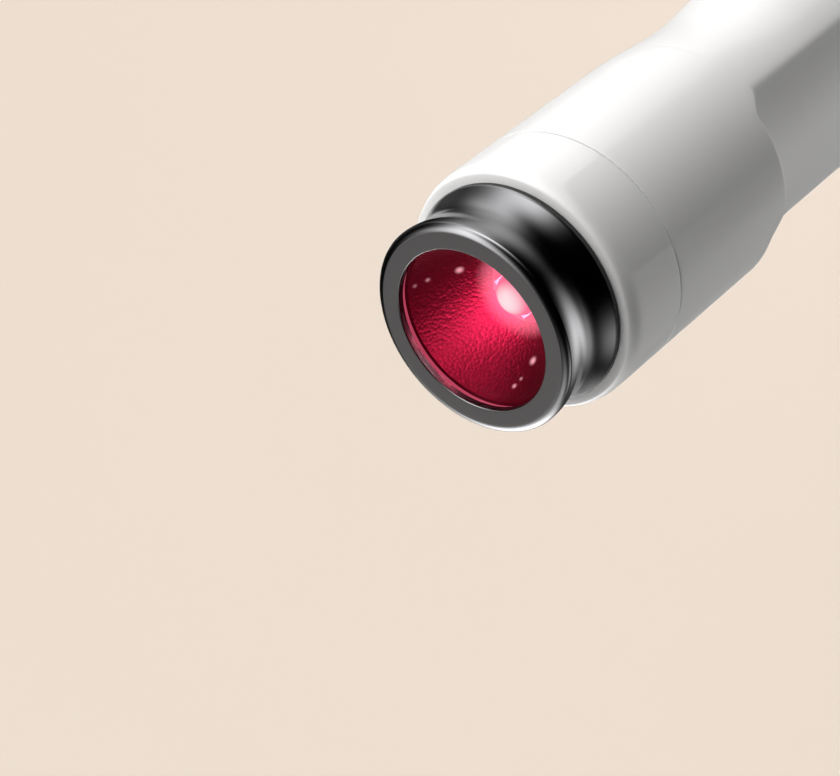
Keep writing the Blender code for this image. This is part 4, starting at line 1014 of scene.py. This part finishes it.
def chrome_finish():
    """Dark plating: a polished neck, and a dull blasted ring on the flat front."""
    material, tree, shader, point = new_material("dark_plating")
    tone = grained(tree, point, shader, *PLATING_GRAIN)
    front = height_mask(tree, point, length - FRONT_FADE_FROM, length - FRONT_FADE_TO)
    colour = blend_colour(tree, front, blend_colour(tree, tone, *PLATING), FRONT_RING)
    roughness = spread(tree, front, PLATING_ROUGH, FRONT_ROUGH)
    fill(tree, shader, {"Base Color": colour, "Roughness": roughness, "Metallic": 1.0})
    return material


def painted_glint_mask(tree, point):
    """The mask of all painted glints together."""
    total = 0.0
    for turn, drop, size, brightness in PAINTED_GLINTS:
        angle, radius = math.radians(turn), bowl_radius(drop)
        middle = (radius * math.cos(angle), radius * math.sin(angle), mouth_height - drop)
        values = {"Point": point, "Middle": middle, "Size": size, "Brightness": brightness}
        total = maths(tree, "MAXIMUM", total, placed(tree, "painted_glint", values)["Mask"])
    return total


def bowl_finish():
    """Stippled bright metal that mirrors the light, painted a deep crimson tint and a crimson glow,
    both standing for the LED's red light.

    The bowl is turned, so it shines in a streak across its turning marks. The stipple is a dish
    in each cell: the squared distance from the cell's middle. A few painted glints stand for
    reflections of the light, and the foot of the bowl has a painted pink glow standing for the dome
    beside it.
    """
    material, tree, shader, point = new_material("bowl_metal")
    cells = node(tree, "ShaderNodeTexVoronoi", {"Scale": 1 / STIPPLE_SIZE, "Vector": point})
    tone = cells.outputs["Distance"]
    # Mask of the painted pink glow at the bowl's foot
    foot = height_mask(tree, point, bowl_base + PAINTED_FOOT_HEIGHT, bowl_base)
    painted_bowl_glow = blend_colour(tree, foot, blend_colour(tree, tone, *BOWL_PAINTED_GLOW), PAINTED_FOOT_GLOW)
    around = node(tree, "ShaderNodeTangent", {}, direction_type="RADIAL", axis="Z")
    look = {
        # Base colour: a painted red tint. Emission: painted crimson glow, painted pink foot glow and
        # painted glints
        "Base Color": blend_colour(tree, tone, *BOWL_METAL_PAINTED_RED),
        "Roughness": spread(tree, tone, *BOWL_ROUGH),
        "Normal": relief(tree, maths(tree, "POWER", tone, 2.0), STIPPLE_DEPTH),
        "Tangent": around.outputs[0],
        "Emission Color": blend_colour(tree, painted_glint_mask(tree, point), painted_bowl_glow, PAINTED_GLINT_COLOUR),
    }
    fill(tree, shader, look | TURNED_LOOK)
    return material


def dome_finish():
    """Silicone lit from within: nearly white at its top and deep pink towards its foot."""
    material, tree, shader, point = new_material("dome_glow")
    top = height_mask(tree, point, dome_base + DOME_PINK_RISE, dome_top + DOME_WHITE_PAST)
    fill(tree, shader, {"Emission Color": blend_colour(tree, top, *DOME_GLOW), **DOME_LOOK})
    return material


def glass_finish(name, tint, roughness, refraction):
    """Clear glass or plastic."""
    material, tree, shader, point = new_material(name)
    tone = grained(tree, point, shader, *GLASS_GRAIN)
    colour = blend_colour(tree, tone, tint, tuple(value + TINT_DRIFT for value in tint))
    look = {"Transmission Weight": 1.0, "Roughness": roughness, "IOR": refraction}
    fill(tree, shader, {"Base Color": colour, **look})
    return material


def board_finish():
    """A circuit board: solder mask with fainter copper tracks under it."""
    material, tree, shader, point = new_material("control_board_mask")
    inputs = {"Vector": point, **BOARD_TRACKS}
    tracks = node(tree, "ShaderNodeTexBrick", inputs, offset=TRACK_OFFSET)
    grained(tree, point, shader, *BOARD_GRAIN)
    roughness = spread(tree, tracks.outputs["Fac"], *BOARD_ROUGH)
    fill(tree, shader, {"Base Color": tracks.outputs["Color"], "Roughness": roughness})
    return material


# Plain finishes: material, darkest and lightest colour, roughness range, and metallic if it is 1
PLAIN_FINISHES = {
    "white": ("satin_white", (0.86, 0.86, 0.857), (0.9, 0.9, 0.897), (0.34, 0.42)),
    "rubber": ("seal_rubber_black", (0.012, 0.012, 0.012), (0.03, 0.03, 0.03), (0.5, 0.7)),
    "ceramic": ("emitter_ceramic", (0.72, 0.7, 0.62), (0.82, 0.8, 0.73), (0.45, 0.6)),
    "pad": ("thermal_pad_grey", (0.3, 0.33, 0.37), (0.4, 0.43, 0.47), (0.75, 0.9)),
    "aluminium": ("turned_aluminium", (0.62, 0.62, 0.63), (0.75, 0.75, 0.76), (0.3, 0.42), 1.0),
    "steel": ("plated_steel", (0.52, 0.52, 0.52), (0.66, 0.66, 0.65), (0.22, 0.36), 1.0),
    "nickel": ("nickel_strip", (0.64, 0.6, 0.52), (0.76, 0.72, 0.64), (0.25, 0.38), 1.0),
    "black": ("moulded_black", (0.018, 0.018, 0.018), (0.04, 0.04, 0.04), (0.4, 0.55)),
    "grey": ("moulded_grey", (0.26, 0.27, 0.28), (0.33, 0.34, 0.35), (0.5, 0.62)),
    "wrap": ("cell_sleeve", (0.035, 0.15, 0.36), (0.06, 0.22, 0.47), (0.28, 0.4)),
    "red_wire": ("red_insulation", (0.5, 0.02, 0.02), (0.65, 0.04, 0.04), (0.4, 0.5)),
    "black_wire": ("black_insulation", (0.02, 0.02, 0.02), (0.04, 0.04, 0.04), (0.4, 0.5)),
    "ribbon": ("amber_film", (0.48, 0.22, 0.03), (0.6, 0.32, 0.07), (0.3, 0.42)),
}

# Finishes painted with red light, a red tint and a glow standing for the dome's light on the seal,
# board and screws, with the emitter's glow partly the LED's own light: material, darkest and
# lightest colour, and glow
PAINTED_GLOW_FINISHES = {
    "clear_seal": ("lens_seal_silicone", (0.4, 0.1, 0.14), (0.5, 0.14, 0.18), (0.45, 0.05, 0.10)),
    "emitter": ("emitter_phosphor", (0.5, 0.05, 0.09), (0.62, 0.08, 0.13), (0.80, 0.16, 0.26)),
    "core_board": ("light_board_mask", (0.36, 0.03, 0.05), (0.44, 0.05, 0.08), (0.85, 0.16, 0.27)),
    "core_steel": ("light_board_screws", (0.5, 0.2, 0.22), (0.6, 0.25, 0.27), (0.8, 0.2, 0.3)),
}
PAINTED_GLOW_ROUGH = (0.4, 0.5)

# Clear finishes: material, tint, roughness and refraction
CLEAR_FINISHES = {
    "glass": ("window_clear", (0.97, 0.97, 0.97), 0.0, 1.1),
    "pipe": ("pipe_clear", (0.90, 0.93, 0.92), 0.25, 1.46),
}


def make_finishes():
    """Every finish by its name."""
    make_grain_group()
    make_height_group()
    make_painted_glint_group()
    made = {"chrome": chrome_finish(), "bowl": bowl_finish(), "dome": dome_finish()}
    made["board"] = board_finish()
    made.update((name, plain_finish(*values)) for name, values in PLAIN_FINISHES.items())
    made.update((name, painted_glow_finish(*values)) for name, values in PAINTED_GLOW_FINISHES.items())
    made.update((name, glass_finish(*values)) for name, values in CLEAR_FINISHES.items())
    return made


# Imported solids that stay, by the finish that they get
KEPT_NODES = {
    "clear_seal": ["lens_seal"],
    "emitter": ["led_emitter"],
    "core_board": ["led_board"],
    "core_steel": ["led_screw_left", "led_screw_right"],
    "pad": ["thermal_pad"],
    "aluminium": ["heat_sink"],
    "grey": ["chassis", "switch_plunger"],
    "wrap": ["battery_cell"],
    "steel": ["battery_terminal", "board_screw_left", "board_screw_right", "usb_shell"],
    "nickel": ["tail_contact", "tail_spring", "front_contact"],
    "board": ["control_board", "charging_board"],
    "black": ["inductor", "charger_chip", "controller_chip"]
    + ["switch_body", "port_frame", "usb_tongue"],
    "ceramic": ["indicator_led"],
    "red_wire": ["led_wire_red"],
    "black_wire": ["led_wire_black"],
    "ribbon": ["charge_ribbon"],
}


def finish_kept_nodes(finishes):
    """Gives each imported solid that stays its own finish."""
    for finish, names in KEPT_NODES.items():
        for name in names:
            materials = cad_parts[name].data.materials
            materials.clear()
            materials.append(finishes[finish])


# ---- studio


def make_camera():
    """The camera at the photograph's viewing angle."""
    lens = bpy.data.cameras.new("camera")
    lens.sensor_width = SENSOR_WIDTH
    lens.lens = FOCAL_PIXELS / PICTURE_WIDTH * SENSOR_WIDTH
    lens.clip_start = CLIP_NEAR
    lens.clip_end = CLIP_FAR
    camera = add_object("camera", lens)
    turn = Matrix([CAMERA_RIGHT, CAMERA_UP, CAMERA_BACK]).transposed()
    camera.matrix_world = Matrix.Translation(CAMERA_PLACE) @ turn.to_4x4()
    bpy.context.scene.camera = camera


def make_floor():
    """The plain pale floor that the tail cap stands on."""
    mesh = bpy.data.meshes.new("floor")
    corners = [(x * FLOOR_HALF, y * FLOOR_HALF, 0) for x, y in ((-1, -1), (1, -1), (1, 1), (-1, 1))]
    mesh.from_pydata(corners, [], [(0, 1, 2, 3)])
    floor = add_object("floor", mesh)
    material, tree, shader, point = new_material("floor_paper")
    tone = grained(tree, point, shader, *FLOOR_GRAIN)
    fill(tree, shader, {"Base Color": blend_colour(tree, tone, *FLOOR_COLOURS), **FLOOR_LOOK})
    mesh.materials.append(material)
    floor.visible_glossy = floor.visible_diffuse = floor.visible_transmission = False


def bearing(azimuth, elevation):
    """A direction from degrees round from +X towards +Y, and degrees up."""
    turn, rise = math.radians(azimuth), math.radians(elevation)
    level = math.cos(rise)
    return Vector((math.cos(turn) * level, math.sin(turn) * level, math.sin(rise)))


# Soft boxes round the torch: azimuth and elevation in degrees, sharpness and brightness
SOFT_BOXES = [
    (143, 58, 40, 4.2),
    (108, 56, 40, 5.0),
    (88, 40, 40, 3.5),
    (71, 18, 20, 4.2),
    (50, 12, 20, 4.5),
    (72, -14, 20, 2.4),
    (95, -30, 30, 1.3),
    (70, -35, 30, 1.4),
    (85, -62, 20, 1.4),
    (135, -15, 20, 0.2),
    (-150, 10, 20, 9.5),
    (-150, -15, 20, 0.8),
    (-130, 40, 30, 1.6),
    (-90, 5, 20, 1.6),
    (-90, -60, 20, 3.2),
]


def soft_box(tree, way, direction, sharpness, brightness):
    """A soft lamp in the sky: brightness times the cosine to its direction, to a power."""
    cosine = measure(tree, "DOT_PRODUCT", way, direction)
    power = maths(tree, "POWER", maths(tree, "MAXIMUM", cosine, 0.0), sharpness)
    return maths(tree, "MULTIPLY", power, brightness)


def make_studio_light():
    """The studio as one dark sky with soft boxes in it."""
    world = bpy.data.worlds.new("studio")
    bpy.context.scene.world = world
    world.use_nodes = True
    tree = world.node_tree
    way = node(tree, "ShaderNodeTexCoord", {}).outputs["Generated"]
    total = 0.0
    for azimuth, elevation, sharpness, brightness in SOFT_BOXES:
        light = soft_box(tree, way, bearing(azimuth, elevation), sharpness, brightness)
        total = maths(tree, "ADD", total, light)
    fill(tree, tree.nodes["Background"], {"Color": SKY_TINT, "Strength": total})


def make_glow():
    """A ball of light in the dome's middle, which lights the bowl."""
    lamp = bpy.data.lights.new("red_glow", "POINT")
    lamp.energy = GLOW_POWER
    lamp.color = GLOW_COLOUR
    lamp.shadow_soft_size = GLOW_RADIUS
    glow = add_object("red_glow", lamp)
    glow.location = (0, 0, dome_base + GLOW_RISE)
    glow.visible_camera = glow.visible_transmission = False


def main():
    """Builds the whole scene."""
    finishes = make_finishes()
    make_camera()
    make_floor()
    make_studio_light()
    make_glow()
    make_bezel(finishes["chrome"])
    make_window(finishes["glass"])
    make_reflector(finishes["bowl"])
    make_dome(finishes["dome"])
    make_neck_seal(finishes["rubber"])
    make_ring_seal("collar_ring", "collar_seal", "root", finishes["rubber"])
    make_ring_seal("cap_ring", "tail_seal", "cap_travel", finishes["rubber"])
    make_collar(finishes["white"])
    make_housing(finishes["white"])
    make_button(finishes["white"], finishes["chrome"], finishes["pipe"])
    make_tail_cap(finishes["white"])
    finish_kept_nodes(finishes)
    bpy.context.scene.view_settings.view_transform = "Standard"


main()
